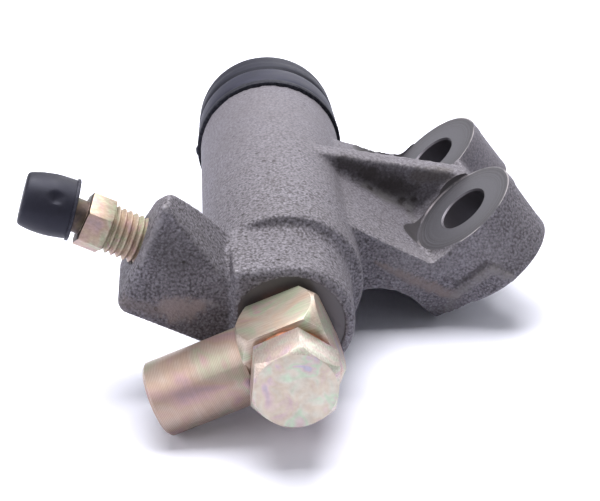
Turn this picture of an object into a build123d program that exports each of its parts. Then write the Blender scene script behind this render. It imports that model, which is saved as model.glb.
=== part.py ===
"""Hydraulic clutch slave cylinder.

An iron cylinder casting holds a piston with two rubber cups and a return spring.
A rubber boot closes its open end round the pushrod. At the closed end a hollow bolt
clamps a pipe union between two copper gaskets, and a bleed screw with a rubber cap
stands on a square boss at the side. Two ears carry the mounting bolts.

The pieces are modelled in a bore frame: +Y runs along the bore from the closed end's
machined face (Y = 0) to the open end, +Z is up as the cylinder lies on a bench, and
X is to the right. Just before they are written they are moved so that the origin is
the point midway between the two mounting holes, on the mounting face.
"""
from math import acos, atan2, cos, degrees, hypot, radians, sin, tan
import os

from build123d import *

# Bore and barrel
BORE_R = 11.1
BORE_FLOOR_Y = 18.0
BARREL_R = 16.4
SHOULDER_Y = 16.2
BOOT_STEP_Y = 84.7
OPEN_END_Y = 90.0
BOOT_SEAT_R = 15.2
BOOT_GROOVE_R = 14.2
BOOT_GROOVE_Y = 86.2
BOOT_GROOVE_WIDTH = 2.0
MOUTH_CHAMFER = 0.8
RUNNING_CLEARANCE = 0.05
SHOULDER_EDGE_R = 1.0
SHOULDER_ROOT_R = 1.6

# End boss that takes the union bolt
BOSS_R = 13.3
BOSS_ROOT_R = 13.8
BOSS_FLANK_X = -11.5
BOSS_CORNER = (-10.7, 12.7)
BOSS_EDGE_R = 1.5
BOLT_HOLE_DEPTH = 13.0
INLET_R = 2.5

# Bleed screw boss: a rounded bar that points left and up from the bore
BLEED_Y = 11.1
BLEED_RISE_DEG = 26.5
BLEED_FACE_REACH = 32.3
BLEED_SECTION = [
    (2.0, -11.9), (2.0, 12.5), (7.5, 13.1), (13.8, 8.5), (19.4, -0.8), (21.6, -6.8), (20.6, -11.9)
]
BLEED_NEAR_R = 1.3
BLEED_FAR_R = 3.0
BLEED_FACE_EDGE_R = 2.2
CREASE_Z = 6.0
CREASE_UPPER_DEG = 2.5
CREASE_LOWER_DEG = 3.5
SHED_TOP = (-23.6, 2.6, 25.8)
SHED_FOOT = (-11.3, 2.2, 8.5)
SHED_BACK = (-11.3, 13.5, 13.5)

# Mounting flange: its faces lie square to a line turned from upright
FLANGE_TURN_DEG = 39.8
SPOTFACE_N = -21.3
MOUNTING_FACE_N = -35.2
HOLE_R = 5.5
NEAR_HOLE_E = 34.1
NEAR_HOLE_Y = 38.5
FAR_HOLE_E = 30.8
FAR_HOLE_Y = 70.4
EAR_R = 12.3
NEAR_EAR_LEAN = (-1.0, -1.9)
FAR_EAR_LEAN = (-1.0, 1.0)
SPOTFACE_SLACK = 0.15
SPOTFACE_CUT_HEIGHT = 20.0
MIDDLE_SETBACK = 6.0
FOOT_E = 14.7
WEB_OUTER_E = 23.6
WEB_NEAR_Y = 26.3
WEB_FAR_Y = 81.5
WEB_TOP_FAR_Y = 58.0
FOOT_SETBACK = 4.6
WEB_CROWN_N = 5.0
WEB_END_SLOPE_RISE = 40.0
WEB_SHOULDER = 2.4
WEB_OUTER_SIDE = [(16.3, -2.3), (17.8, -6.2), (20.8, -14.2)]
WEB_INNER_SIDE = [(0.0, -4.4), (1.0, -0.3), (3.0, 2.4), (6.0, 4.6)]
WEB_INNER_TOP = 6.5
MIDDLE_E = 37.0
RIB_Y = 51.2
RIB_THICKNESS = 4.4
RIB_TOP_E = 37.6
RIB_CROWN_N = 8.3
RIB_SINK = 2.0

# Pipe union: a square bar with a turned stub, threaded inside for the pipe nut
UNION_TURN_DEG = 202.6
UNION_HALF_WIDTH = 8.5
UNION_THICKNESS = 13.0
UNION_BACK_REACH = 8.2
UNION_SHOULDER_REACH = 8.4
UNION_END_R = 8.0
STUB_R = 7.6
STUB_END_REACH = 28.3
STUB_CHAMFER = 0.6
PIPE_THREAD_R = 4.5
PIPE_THREAD_DEPTH = 13.0
PIPE_MOUTH_CHAMFER = 0.8
FLARE_SEAT_HEIGHT = 2.4
UNION_PASSAGE_R = 1.6
UNION_BORE_CLEARANCE = 0.35

# Union bolt and its gaskets
BOLT_R = 6.0
BOLT_HEAD_AF = 16.0
BOLT_HEAD_HEIGHT = 7.8
BOLT_HEAD_TURN_DEG = 35.3
BOLT_FACE_R = 7.9
BOLT_BEVEL_DEG = 50.0
BOLT_REACH = 9.0
BOLT_WAIST_R = 4.7
BOLT_WAIST_LENGTH = 6.0
BOLT_DRILL_R = 2.0
THREAD_CLEARANCE = 0.05
GASKET_R = 7.8
GASKET_THICKNESS = 1.5

# Bleed screw, measured outward along its axis from the bore's centre line
SCREW_R = 4.85
SCREW_HOLE_CLEARANCE = 0.05
SCREW_SEAT_GAP = 0.3
SCREW_SEAT_REACH = 14.0
SCREW_TIP_R = 1.6
SCREW_TIP_CONE = 3.0
SCREW_HEX_REACH = 39.3
SCREW_HEX_HEIGHT = 5.0
SCREW_HEX_AF = 10.0
SCREW_HEX_TURN_DEG = 20.0
NECK_R = 3.4
NECK_LENGTH = 2.6
BARB_R = 3.9
NIPPLE_END_REACH = 53.0
SCREW_DRILL_R = 1.1
BLEED_PASSAGE_R = 1.5

# Rubber cap, pushed on slightly askew
CAP_LENGTH = 10.4
CAP_LIP_R = 6.2
CAP_BODY_R = 5.85
CAP_BULGE_R = 6.15
CAP_END_R = 5.0
CAP_LIP_HEIGHT = 0.7
CAP_EDGE = 0.8
CAP_GRIP = 6.6
CAP_TILT_DEG = 9.5
CAP_CLEARANCE = 0.2

# Piston, cups, spring and stop ring
PISTON_LENGTH = 24.0
RING_THICKNESS = 1.2
RING_INNER_R = 9.4
RING_GROOVE_R = 12.0
RING_GAP = 7.0
RING_Y = 86.4
RING_PLAY = 0.1
CUP_LENGTH = 5.0
CUP_LIP = 1.6
PISTON_NOSE_R = 3.0
PISTON_GROOVE_R = 7.6
PISTON_GROOVE_SETBACK = 13.0
SEAT_DISC_R = 8.2
SEAT_DISC_THICKNESS = 1.4
SPRING_WIRE_R = 0.85
SPRING_TURNS = 6
SPRING_BIG_R = 9.4
SPRING_SMALL_R = 6.2
SPRING_CONE_DEG = 3.0
SPRING_PLAY = 0.1

# Pushrod with its lock nut and domed end
BALL_R = 5.0
BALL_SEAT_CLEARANCE = 0.15
BALL_SETBACK = 5.2
ROD_R = 4.0
SOCKET_MOUTH_R = 7.4
ROD_END_Y = 116.5
NUT_Y = 108.0
NUT_THICKNESS = 3.6
NUT_AF = 13.0
ROD_TIP_R = 6.0
ROD_TIP_LENGTH = 7.2
ROD_TIP_DOME = 3.0

# Dust boot: its outside, as radius and place along the bore, and the folded neck
BOOT_WALL = 1.5
BOOT_OUTSIDE = [
    (17.2, 84.75), (17.2, 86.3), (16.8, 87.2), (16.9, 92.0), (16.6, 97.0), (16.4, 101.5),
    (16.0, 103.6), (15.1, 105.2), (13.6, 106.1),
]
BOOT_FOLD = [(11.6, 106.1), (10.0, 104.4), (8.6, 103.0), (7.2, 102.4), (6.2, 103.0)]
BOOT_NECK_R = 5.6
BOOT_NECK_Y = 107.6


def turned(*points):
    """Solid turned about Z from (radius, height) points."""
    return revolve(Plane.XZ * make_face(Polyline(*points, close=True)), Axis.Z)


def hexagon_bar(across_flats, height, turn_deg):
    """Hexagonal bar that stands on the XY plane."""
    corner_radius = across_flats / 2 / cos(radians(30))
    outline = RegularPolygon(corner_radius, 6, rotation=turn_deg)
    return extrude(outline, height)


def bevelled_hexagon(across_flats, height, turn_deg, face_radius, bevel_deg=30, both_ends=False):
    """Hexagonal bar whose corners are turned off at its far end, or at both."""
    corner_radius = across_flats / 2 / cos(radians(30)) + 0.1
    drop = (corner_radius - face_radius) * tan(radians(bevel_deg))
    near = [(face_radius, 0), (corner_radius, drop)] if both_ends else [(corner_radius, 0)]
    envelope = turned((0, 0), *near, (corner_radius, height - drop), (face_radius, height), (0, height))
    return hexagon_bar(across_flats, height, turn_deg) & envelope


def bore_plane(y):
    """Frame whose Z runs along the bore, with its origin on the bore axis at Y = y."""
    return Plane(origin=(0, y, 0), x_dir=(1, 0, 0), z_dir=(0, 1, 0))


def outward(turn_deg):
    """Unit direction square to the bore, turned from +X towards +Z."""
    return (cos(radians(turn_deg)), 0, sin(radians(turn_deg)))


BLEED_TURN_DEG = 180.0 - BLEED_RISE_DEG
BLEED_PLANE = Plane(origin=(0, BLEED_Y, 0), x_dir=(0, 1, 0), z_dir=outward(BLEED_TURN_DEG))
FLANGE_PLANE = Plane(
    origin=(0, 0, 0), x_dir=outward(FLANGE_TURN_DEG), z_dir=outward(FLANGE_TURN_DEG + 90)
)
HOLES = [(NEAR_HOLE_E, NEAR_HOLE_Y), (FAR_HOLE_E, FAR_HOLE_Y)]
UNION_REAR_Y = -GASKET_THICKNESS
UNION_Y = UNION_REAR_Y - UNION_THICKNESS / 2
UNION_FRONT_Y = UNION_REAR_Y - UNION_THICKNESS
BOLT_SEAT_Y = UNION_FRONT_Y - GASKET_THICKNESS
UNION_PLANE = Plane(origin=(0, UNION_Y, 0), x_dir=(0, 1, 0), z_dir=outward(UNION_TURN_DEG))
CAP_MOUTH_REACH = NIPPLE_END_REACH - CAP_GRIP
PISTON_REAR_Y = RING_Y - RING_PLAY
PISTON_FRONT_Y = PISTON_REAR_Y - PISTON_LENGTH
SEAT_DISC_Y = PISTON_FRONT_Y - CUP_LENGTH - SEAT_DISC_THICKNESS
BALL_Y = PISTON_REAR_Y - BALL_SETBACK


def end_boss():
    """Boss at the closed end: round on the right, squared up on its upper left."""
    foot_z = -((BOSS_R**2 - BOSS_FLANK_X**2) ** 0.5)
    flank_foot = (BOSS_FLANK_X, foot_z)
    sweep_deg = 270 - degrees(atan2(-foot_z, -BOSS_FLANK_X))
    outline = make_face(
        Polyline(flank_foot, BOSS_CORNER, (0, BOSS_R)) + CenterArc((0, 0), BOSS_R, 90, -sweep_deg)
    )
    length = SHOULDER_Y + SHOULDER_EDGE_R
    draft_deg = degrees(atan2(BOSS_ROOT_R - BOSS_R, SHOULDER_Y))
    boss = extrude(Plane.XZ * outline, -length, taper=-draft_deg)
    front = boss.faces().sort_by(Axis.Y)[0]
    return fillet(front.edges(), BOSS_EDGE_R)


def bleed_boss():
    """Rounded bar for the bleed screw; its near face breaks along a level casting line."""
    near_x = BLEED_SECTION[0][0] - BLEED_Y
    section = make_face(Polyline(*[(y - BLEED_Y, -b) for y, b in BLEED_SECTION], close=True))
    far_corners = [corner for corner in section.vertices() if corner.X > BLEED_SECTION[2][0] - BLEED_Y - 1]
    section = fillet(far_corners, BLEED_FAR_R)
    near_corners = [corner for corner in section.vertices() if corner.X < near_x + 0.1]
    section = fillet(near_corners, BLEED_NEAR_R)
    bar = extrude(section, BLEED_FACE_REACH)
    rim = bar.faces().sort_by(Axis.Z)[-1].edges().sort_by(Axis.Y)
    bar = BLEED_PLANE * fillet(rim[-3:], BLEED_FACE_EDGE_R)
    near_y = BLEED_SECTION[0][0]
    reach = 2 * BLEED_SECTION[2][1]
    ahead = Plane.YZ * make_face(
        Polyline(
            (near_y, CREASE_Z),
            (near_y + reach * tan(radians(CREASE_UPPER_DEG)), CREASE_Z + reach),
            (near_y - reach, CREASE_Z + reach),
            (near_y - reach, CREASE_Z - reach),
            (near_y + reach * tan(radians(CREASE_LOWER_DEG)), CREASE_Z - reach),
            close=True,
        )
    )
    along = Vector(*SHED_TOP) - Vector(*SHED_FOOT)
    across = Vector(*SHED_BACK) - Vector(*SHED_FOOT)
    slope = Plane(origin=SHED_FOOT, x_dir=along, z_dir=along.cross(across))
    if slope.z_dir.Z < 0:
        slope = Plane(origin=SHED_FOOT, x_dir=along, z_dir=across.cross(along))
    shed = slope * Box(4 * reach, 4 * reach, reach, align=(Align.CENTER, Align.CENTER, Align.MIN))
    return bar - extrude(ahead, -2 * BLEED_FACE_REACH) - shed


def flange_section(points, near_y, far_y):
    """Slab of the flange, cut square to the bore, from (E, N) points."""
    section = Plane(
        origin=FLANGE_PLANE.from_local_coords((0, near_y, 0)),
        x_dir=FLANGE_PLANE.x_dir,
        z_dir=(0, -1, 0),
    ) * make_face(Polyline(*points, close=True))
    return extrude(section, near_y - far_y)


def lobe_outline(hole, inner_y, foot_y, n):
    """Plate outline at height N round one ear: its circle and two corners at the arch."""
    side = 1 if foot_y < inner_y else -1
    centre = Vector(*hole)
    points = []
    for corner_y in (foot_y, inner_y):
        corner = Vector(FOOT_E, corner_y)
        away = corner - centre
        turn = degrees(atan2(away.Y, away.X))
        opening = degrees(acos(EAR_R / away.length))
        side_turn = opening if corner_y == foot_y else -opening
        tangent_deg = turn + side * side_turn
        towards_touch = Vector(cos(radians(tangent_deg)), sin(radians(tangent_deg)))
        points.append((corner, centre + towards_touch * EAR_R))
    outer = centre + Vector(EAR_R, 0)
    (foot, foot_touch), (inner, inner_touch) = points
    outline = (
        Line(inner, foot)
        + Line(foot, foot_touch)
        + ThreePointArc(foot_touch, outer, inner_touch)
        + Line(inner_touch, inner)
    )
    return FLANGE_PLANE * Pos(0, 0, n) * make_face(outline)


def flange():
    """Ears, the web that carries them on the barrel, and the gusset between them."""
    root = BARREL_R - 3.0
    web = flange_section(
        [
            (root, WEB_CROWN_N),
            (root + WEB_SHOULDER, 0.0),
            *WEB_OUTER_SIDE,
            (WEB_OUTER_E, SPOTFACE_N),
            (WEB_OUTER_E, MOUNTING_FACE_N),
            (FOOT_E, MOUNTING_FACE_N),
            *[(FOOT_E - inward, SPOTFACE_N + up) for inward, up in WEB_INNER_SIDE],
            (0.0, SPOTFACE_N + WEB_INNER_TOP),
        ],
        WEB_NEAR_Y,
        WEB_FAR_Y,
    )
    top_end = Plane(
        origin=FLANGE_PLANE.from_local_coords((root, 0, SPOTFACE_N)),
        x_dir=(0, 1, 0),
        z_dir=FLANGE_PLANE.x_dir,
    ) * make_face(
        Polyline(
            (WEB_FAR_Y, 0),
            (WEB_TOP_FAR_Y, WEB_END_SLOPE_RISE),
            (WEB_FAR_Y + 1, WEB_END_SLOPE_RISE),
            (WEB_FAR_Y + 1, 0),
            close=True,
        )
    )
    web -= extrude(top_end, 2 * root)
    corner = Plane(
        origin=FLANGE_PLANE.from_local_coords((FOOT_E, 0, 0)),
        x_dir=(0, 1, 0),
        z_dir=FLANGE_PLANE.x_dir,
    )
    corner_face = corner * make_face(
        Polyline(
            (WEB_NEAR_Y, SPOTFACE_N),
            (WEB_NEAR_Y - 1, SPOTFACE_N),
            (WEB_NEAR_Y - 1, MOUNTING_FACE_N - 1),
            (WEB_NEAR_Y + FOOT_SETBACK, MOUNTING_FACE_N - 1),
            close=True,
        )
    )
    web -= extrude(corner_face, WEB_OUTER_E - FOOT_E + 1)
    web -= extrude(corner_face, -2)
    near_foot = (NEAR_HOLE_E + NEAR_EAR_LEAN[0], NEAR_HOLE_Y + NEAR_EAR_LEAN[1])
    near_lobe = loft(
        [
            lobe_outline(HOLES[0], RIB_Y, WEB_NEAR_Y, SPOTFACE_N),
            lobe_outline(near_foot, RIB_Y, WEB_NEAR_Y + FOOT_SETBACK, MOUNTING_FACE_N),
        ],
        ruled=True,
    )
    far_foot = (FAR_HOLE_E + FAR_EAR_LEAN[0], FAR_HOLE_Y + FAR_EAR_LEAN[1])
    far_lobe = loft(
        [
            lobe_outline(HOLES[1], RIB_Y + RIB_THICKNESS, WEB_FAR_Y, SPOTFACE_N),
            lobe_outline(far_foot, RIB_Y + RIB_THICKNESS, WEB_FAR_Y, MOUNTING_FACE_N),
        ],
        ruled=True,
    )
    middle = FLANGE_PLANE * Pos(0, 0, MOUNTING_FACE_N) * extrude(
        make_face(
            Polyline(
                (FOOT_E, NEAR_HOLE_Y),
                (MIDDLE_E, NEAR_HOLE_Y + MIDDLE_SETBACK),
                (MIDDLE_E, FAR_HOLE_Y - MIDDLE_SETBACK),
                (FOOT_E, FAR_HOLE_Y),
                close=True,
            )
        ),
        SPOTFACE_N - MOUNTING_FACE_N,
    )
    gusset = flange_section(
        [
            (root, RIB_CROWN_N),
            (RIB_TOP_E, SPOTFACE_N),
            (RIB_TOP_E, SPOTFACE_N - RIB_SINK),
            (WEB_OUTER_E - RIB_SINK, SPOTFACE_N - RIB_SINK),
            (root - 2 * RIB_SINK, 0.0),
        ],
        RIB_Y,
        RIB_Y + RIB_THICKNESS,
    )
    whole = web + near_lobe + far_lobe + middle
    for hole in HOLES:
        whole -= FLANGE_PLANE * Pos(hole[0], hole[1], SPOTFACE_N) * Cylinder(
            EAR_R + SPOTFACE_SLACK, SPOTFACE_CUT_HEIGHT, align=(Align.CENTER, Align.CENTER, Align.MIN)
        )
    return whole + gusset


def barrel():
    """Barrel with its rounded shoulder and the stepped seat for the boot."""
    groove_end = BOOT_GROOVE_Y + BOOT_GROOVE_WIDTH
    root_y = SHOULDER_Y - SHOULDER_ROOT_R
    edge_r = BARREL_R - SHOULDER_EDGE_R
    half = sin(radians(45))
    profile = (
        Polyline((0, root_y), (BOSS_ROOT_R, root_y))
        + ThreePointArc(
            (BOSS_ROOT_R, root_y),
            (edge_r - SHOULDER_ROOT_R * half, root_y + SHOULDER_ROOT_R * half),
            (edge_r, SHOULDER_Y),
        )
        + ThreePointArc(
            (edge_r, SHOULDER_Y),
            (edge_r + SHOULDER_EDGE_R * half, SHOULDER_Y + SHOULDER_EDGE_R * (1 - half)),
            (BARREL_R, SHOULDER_Y + SHOULDER_EDGE_R),
        )
        + Polyline(
            (BARREL_R, SHOULDER_Y + SHOULDER_EDGE_R),
            (BARREL_R, BOOT_STEP_Y),
            (BOOT_SEAT_R, BOOT_STEP_Y),
            (BOOT_SEAT_R, BOOT_GROOVE_Y),
            (BOOT_GROOVE_R, BOOT_GROOVE_Y),
            (BOOT_GROOVE_R, groove_end),
            (BOOT_SEAT_R, groove_end),
            (BOOT_SEAT_R, OPEN_END_Y),
            (0, OPEN_END_Y),
            (0, root_y),
        )
    )
    return bore_plane(0) * revolve(Plane.XZ * make_face(profile), Axis.Z)


def bore_space():
    """All that is bored out along the bore axis: inlet thread, passage, bore, ring groove."""
    ring_far_y = RING_Y + RING_THICKNESS
    return bore_plane(0) * turned(
        (0, -1),
        (BOLT_R + 1.0, -1),
        (BOLT_R + THREAD_CLEARANCE, 0.5),
        (BOLT_R + THREAD_CLEARANCE, BOLT_HOLE_DEPTH),
        (INLET_R, BOLT_HOLE_DEPTH + 1.5),
        (INLET_R, BORE_FLOOR_Y),
        (BORE_R, BORE_FLOOR_Y),
        (BORE_R, RING_Y - RING_PLAY / 2),
        (RING_GROOVE_R, RING_Y - RING_PLAY / 2),
        (RING_GROOVE_R, ring_far_y + RING_PLAY / 2),
        (BORE_R, ring_far_y + RING_PLAY / 2),
        (BORE_R, OPEN_END_Y - MOUTH_CHAMFER),
        (BORE_R + MOUTH_CHAMFER, OPEN_END_Y),
        (BORE_R + MOUTH_CHAMFER, OPEN_END_Y + 1),
        (0, OPEN_END_Y + 1),
    )


def bleed_space():
    """Threaded hole, conical seat and drilling of the bleed screw."""
    hole_r = SCREW_R + SCREW_HOLE_CLEARANCE
    cone_start = SCREW_SEAT_REACH - SCREW_SEAT_GAP
    slope = SCREW_TIP_CONE / (SCREW_R - SCREW_TIP_R)
    cone_end = cone_start + slope * (hole_r - SCREW_TIP_R)
    return BLEED_PLANE * turned(
        (0, 0),
        (BLEED_PASSAGE_R, 0),
        (BLEED_PASSAGE_R, cone_start),
        (SCREW_TIP_R, cone_start),
        (hole_r, cone_end),
        (hole_r, BLEED_FACE_REACH + 1),
        (0, BLEED_FACE_REACH + 1),
    )


def bolt_hole_space(hole):
    """Clearance hole through one ear."""
    return FLANGE_PLANE * Pos(hole[0], hole[1], MOUNTING_FACE_N - 1) * Cylinder(
        HOLE_R, SPOTFACE_N - MOUNTING_FACE_N + 2, align=(Align.CENTER, Align.CENTER, Align.MIN)
    )


def cylinder_body():
    """The casting, with its machined bores and holes."""
    casting = barrel() + end_boss() + bleed_boss() + flange()
    for hole in HOLES:
        casting -= bolt_hole_space(hole)
    return casting - bore_space() - bleed_space()


def pipe_union():
    """Square bar, turned off at both ends, with the threaded stub."""
    size = 2 * UNION_HALF_WIDTH
    length = UNION_BACK_REACH + UNION_SHOULDER_REACH
    corner = hypot(UNION_HALF_WIDTH, UNION_THICKNESS / 2) + 0.5
    bevel = corner - UNION_END_R
    bar = Pos(0, 0, -UNION_BACK_REACH) * extrude(Rectangle(UNION_THICKNESS, size), length)
    envelope = turned(
        (0, -UNION_BACK_REACH),
        (UNION_END_R, -UNION_BACK_REACH),
        (corner, -UNION_BACK_REACH + bevel),
        (corner, UNION_SHOULDER_REACH - bevel),
        (UNION_END_R, UNION_SHOULDER_REACH),
        (0, UNION_SHOULDER_REACH),
    )
    stub = turned(
        (0, UNION_SHOULDER_REACH - 0.3),
        (STUB_R, UNION_SHOULDER_REACH - 0.3),
        (STUB_R, STUB_END_REACH - STUB_CHAMFER),
        (STUB_R - STUB_CHAMFER, STUB_END_REACH),
        (0, STUB_END_REACH),
    )
    floor = STUB_END_REACH - PIPE_THREAD_DEPTH
    mouth = PIPE_THREAD_R + PIPE_MOUTH_CHAMFER
    socket = turned(
        (0, 0),
        (UNION_PASSAGE_R, 0),
        (UNION_PASSAGE_R, floor - FLARE_SEAT_HEIGHT),
        (PIPE_THREAD_R, floor),
        (PIPE_THREAD_R, STUB_END_REACH - PIPE_MOUTH_CHAMFER),
        (mouth, STUB_END_REACH),
        (mouth, STUB_END_REACH + 1),
        (0, STUB_END_REACH + 1),
    )
    bolt_way = bore_plane(UNION_FRONT_Y - 1) * Cylinder(
        BOLT_R + UNION_BORE_CLEARANCE,
        UNION_THICKNESS + 2,
        align=(Align.CENTER, Align.CENTER, Align.MIN),
    )
    return UNION_PLANE * ((bar & envelope) + stub - socket) - bolt_way


def union_bolt():
    """Hollow hexagon bolt: waisted and cross-drilled where it passes the union."""
    shank = -BOLT_SEAT_Y + BOLT_REACH
    waist = UNION_Y - BOLT_SEAT_Y
    body = turned(
        (0, 0),
        (BOLT_R, 0),
        (BOLT_R, waist - BOLT_WAIST_LENGTH / 2),
        (BOLT_WAIST_R, waist - BOLT_WAIST_LENGTH / 2 + 1),
        (BOLT_WAIST_R, waist + BOLT_WAIST_LENGTH / 2 - 1),
        (BOLT_R, waist + BOLT_WAIST_LENGTH / 2),
        (BOLT_R, shank - 1),
        (BOLT_R - 1, shank),
        (0, shank),
    )
    head = mirror(
        bevelled_hexagon(
            BOLT_HEAD_AF, BOLT_HEAD_HEIGHT, BOLT_HEAD_TURN_DEG, BOLT_FACE_R, BOLT_BEVEL_DEG
        ),
        Plane.XY,
    )
    drilling = Pos(0, 0, waist - BOLT_DRILL_R) * Cylinder(
        BOLT_DRILL_R, shank, align=(Align.CENTER, Align.CENTER, Align.MIN)
    )
    cross = Pos(0, 0, waist) * Rot(0, 90, 0) * Cylinder(BOLT_DRILL_R * 0.75, 3 * BOLT_R)
    return bore_plane(BOLT_SEAT_Y) * (head + body - drilling - cross)


def gasket(front_y):
    """Copper ring under the bolt head or under the union."""
    ring = Circle(GASKET_R) - Circle(BOLT_R + UNION_BORE_CLEARANCE)
    return bore_plane(front_y) * extrude(ring, GASKET_THICKNESS)


def bleed_screw():
    """Screw with a conical tip, a hexagon and a hose nipple, drilled through to its tip."""
    nipple_start = SCREW_HEX_REACH + SCREW_HEX_HEIGHT
    neck_end = nipple_start + NECK_LENGTH
    tip_end = SCREW_SEAT_REACH + SCREW_TIP_CONE
    screw = turned(
        (0, SCREW_SEAT_REACH),
        (SCREW_TIP_R, SCREW_SEAT_REACH),
        (SCREW_R, tip_end),
        (SCREW_R, SCREW_HEX_REACH + 1),
        (NECK_R, SCREW_HEX_REACH + 1),
        (NECK_R, neck_end),
        (BARB_R, neck_end + 0.6),
        (BARB_R, neck_end + 1.6),
        (NECK_R - 0.6, NIPPLE_END_REACH),
        (0, NIPPLE_END_REACH),
    )
    hexagon = Pos(0, 0, SCREW_HEX_REACH) * bevelled_hexagon(
        SCREW_HEX_AF, SCREW_HEX_HEIGHT, SCREW_HEX_TURN_DEG, SCREW_HEX_AF / 2, both_ends=True
    )
    drill_floor = tip_end + 1
    drilling = Pos(0, 0, drill_floor) * Cylinder(
        SCREW_DRILL_R, NIPPLE_END_REACH, align=(Align.CENTER, Align.CENTER, Align.MIN)
    )
    cross = Pos(0, 0, drill_floor + SCREW_DRILL_R) * Rot(0, 90, 0) * Cylinder(SCREW_DRILL_R, 3 * SCREW_R)
    return BLEED_PLANE * (screw + hexagon - drilling - cross)


def bleed_cap():
    """Barrel-shaped rubber cap with a thin lip; its hollow follows the nipple."""
    half = CAP_LENGTH / 2
    lip_top = CAP_LIP_HEIGHT - half
    outline = make_face(
        Polyline((0, half), (0, -half), (CAP_LIP_R, -half), (CAP_LIP_R, lip_top))
        + Line((CAP_LIP_R, lip_top), (CAP_BODY_R, lip_top))
        + ThreePointArc(
            (CAP_BODY_R, lip_top), (CAP_BULGE_R, -half / 5), (CAP_END_R, half - CAP_EDGE)
        )
        + Polyline((CAP_END_R, half - CAP_EDGE), (CAP_END_R - CAP_EDGE, half), (0, half))
    )
    middle = CAP_MOUTH_REACH + half
    outside = Pos(0, 0, middle) * revolve(Plane.XZ * outline, Axis.Z)
    outside = outside.rotate(Axis((0, 0, middle), (1, 0, 0)), -CAP_TILT_DEG)
    hollow_r = BARB_R + CAP_CLEARANCE
    hollow_end = NIPPLE_END_REACH + CAP_CLEARANCE
    hollow = Pos(0, 0, SCREW_HEX_REACH) * Cylinder(
        hollow_r, hollow_end - SCREW_HEX_REACH, align=(Align.CENTER, Align.CENTER, Align.MIN)
    )
    return BLEED_PLANE * (outside - hollow)


def piston():
    """Turned piston: nose for the front cup, groove for the rear cup, socket for the ball."""
    land_r = BORE_R - RUNNING_CLEARANCE
    groove_front = PISTON_REAR_Y - PISTON_GROOVE_SETBACK - CUP_LENGTH
    groove_rear = PISTON_REAR_Y - PISTON_GROOVE_SETBACK
    socket_r = BALL_R + BALL_SEAT_CLEARANCE
    body = turned(
        (0, SEAT_DISC_Y + SEAT_DISC_THICKNESS),
        (PISTON_NOSE_R, SEAT_DISC_Y + SEAT_DISC_THICKNESS),
        (PISTON_NOSE_R, PISTON_FRONT_Y),
        (land_r, PISTON_FRONT_Y),
        (land_r, groove_front),
        (PISTON_GROOVE_R, groove_front),
        (PISTON_GROOVE_R, groove_rear),
        (land_r, groove_rear),
        (land_r, PISTON_REAR_Y),
        (0, PISTON_REAR_Y),
    )
    socket = Pos(0, 0, BALL_Y) * Sphere(socket_r) + turned(
        (0, BALL_Y), (socket_r, BALL_Y), (SOCKET_MOUTH_R, PISTON_REAR_Y + 1), (0, PISTON_REAR_Y + 1)
    )
    return bore_plane(0) * (body - socket)


def cup(front_y, inner_r):
    """Rubber cup seal whose lip opens towards the closed end."""
    outer_r = BORE_R - RUNNING_CLEARANCE
    back_y = front_y + CUP_LENGTH
    heel_y = back_y - CUP_LIP
    groove_r = (inner_r + outer_r) / 2
    return bore_plane(0) * turned(
        (inner_r, back_y),
        (outer_r - 0.3, back_y),
        (outer_r - 0.3, heel_y),
        (outer_r, front_y + 0.4),
        (outer_r - 0.6, front_y),
        (groove_r + 0.6, heel_y),
        (groove_r - 0.6, heel_y),
        (inner_r + 0.8, front_y),
        (inner_r, front_y),
    )


def spring_seat():
    """Pressed disc between the spring and the front cup, with a locating dish."""
    dish_r = SPRING_SMALL_R - SPRING_WIRE_R - 0.2
    return bore_plane(0) * turned(
        (0, SEAT_DISC_Y - 1.6),
        (dish_r - 0.8, SEAT_DISC_Y - 1.6),
        (dish_r, SEAT_DISC_Y),
        (SEAT_DISC_R, SEAT_DISC_Y),
        (SEAT_DISC_R, SEAT_DISC_Y + SEAT_DISC_THICKNESS),
        (0, SEAT_DISC_Y + SEAT_DISC_THICKNESS),
    )


def return_spring():
    """Conical wire spring between the bore's floor and its seat."""
    low = BORE_FLOOR_Y + SPRING_WIRE_R + SPRING_PLAY
    high = SEAT_DISC_Y - SPRING_WIRE_R - SPRING_PLAY
    height = high - low
    coil = Helix(height / SPRING_TURNS, height, SPRING_BIG_R, cone_angle=-SPRING_CONE_DEG)
    start = coil @ 0
    section = Plane(origin=start, x_dir=(0, 0, 1), z_dir=coil % 0) * Circle(SPRING_WIRE_R)
    return bore_plane(low) * sweep(section, path=coil)


def retaining_ring():
    """Snap ring that stops the piston at the open end."""
    ring = Circle(RING_GROOVE_R - RUNNING_CLEARANCE) - Circle(RING_INNER_R)
    ring -= Pos(0, RING_INNER_R) * Rectangle(RING_GAP, 2 * RING_INNER_R)
    return bore_plane(RING_Y) * extrude(ring, RING_THICKNESS)


def pushrod():
    """Rod with a ball for the piston's socket; its far end is threaded."""
    rod = turned(
        (0, BALL_Y),
        (ROD_R, BALL_Y),
        (ROD_R, ROD_END_Y - 0.8),
        (ROD_R - 0.8, ROD_END_Y),
        (0, ROD_END_Y),
    )
    return bore_plane(0) * (rod + Pos(0, 0, BALL_Y) * Sphere(BALL_R))


def lock_nut():
    """Thin hexagon nut on the rod's thread."""
    nut = bevelled_hexagon(NUT_AF, NUT_THICKNESS, 0, NUT_AF / 2, both_ends=True)
    return bore_plane(NUT_Y) * (nut - Cylinder(ROD_R + THREAD_CLEARANCE, 4 * NUT_THICKNESS))


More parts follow.
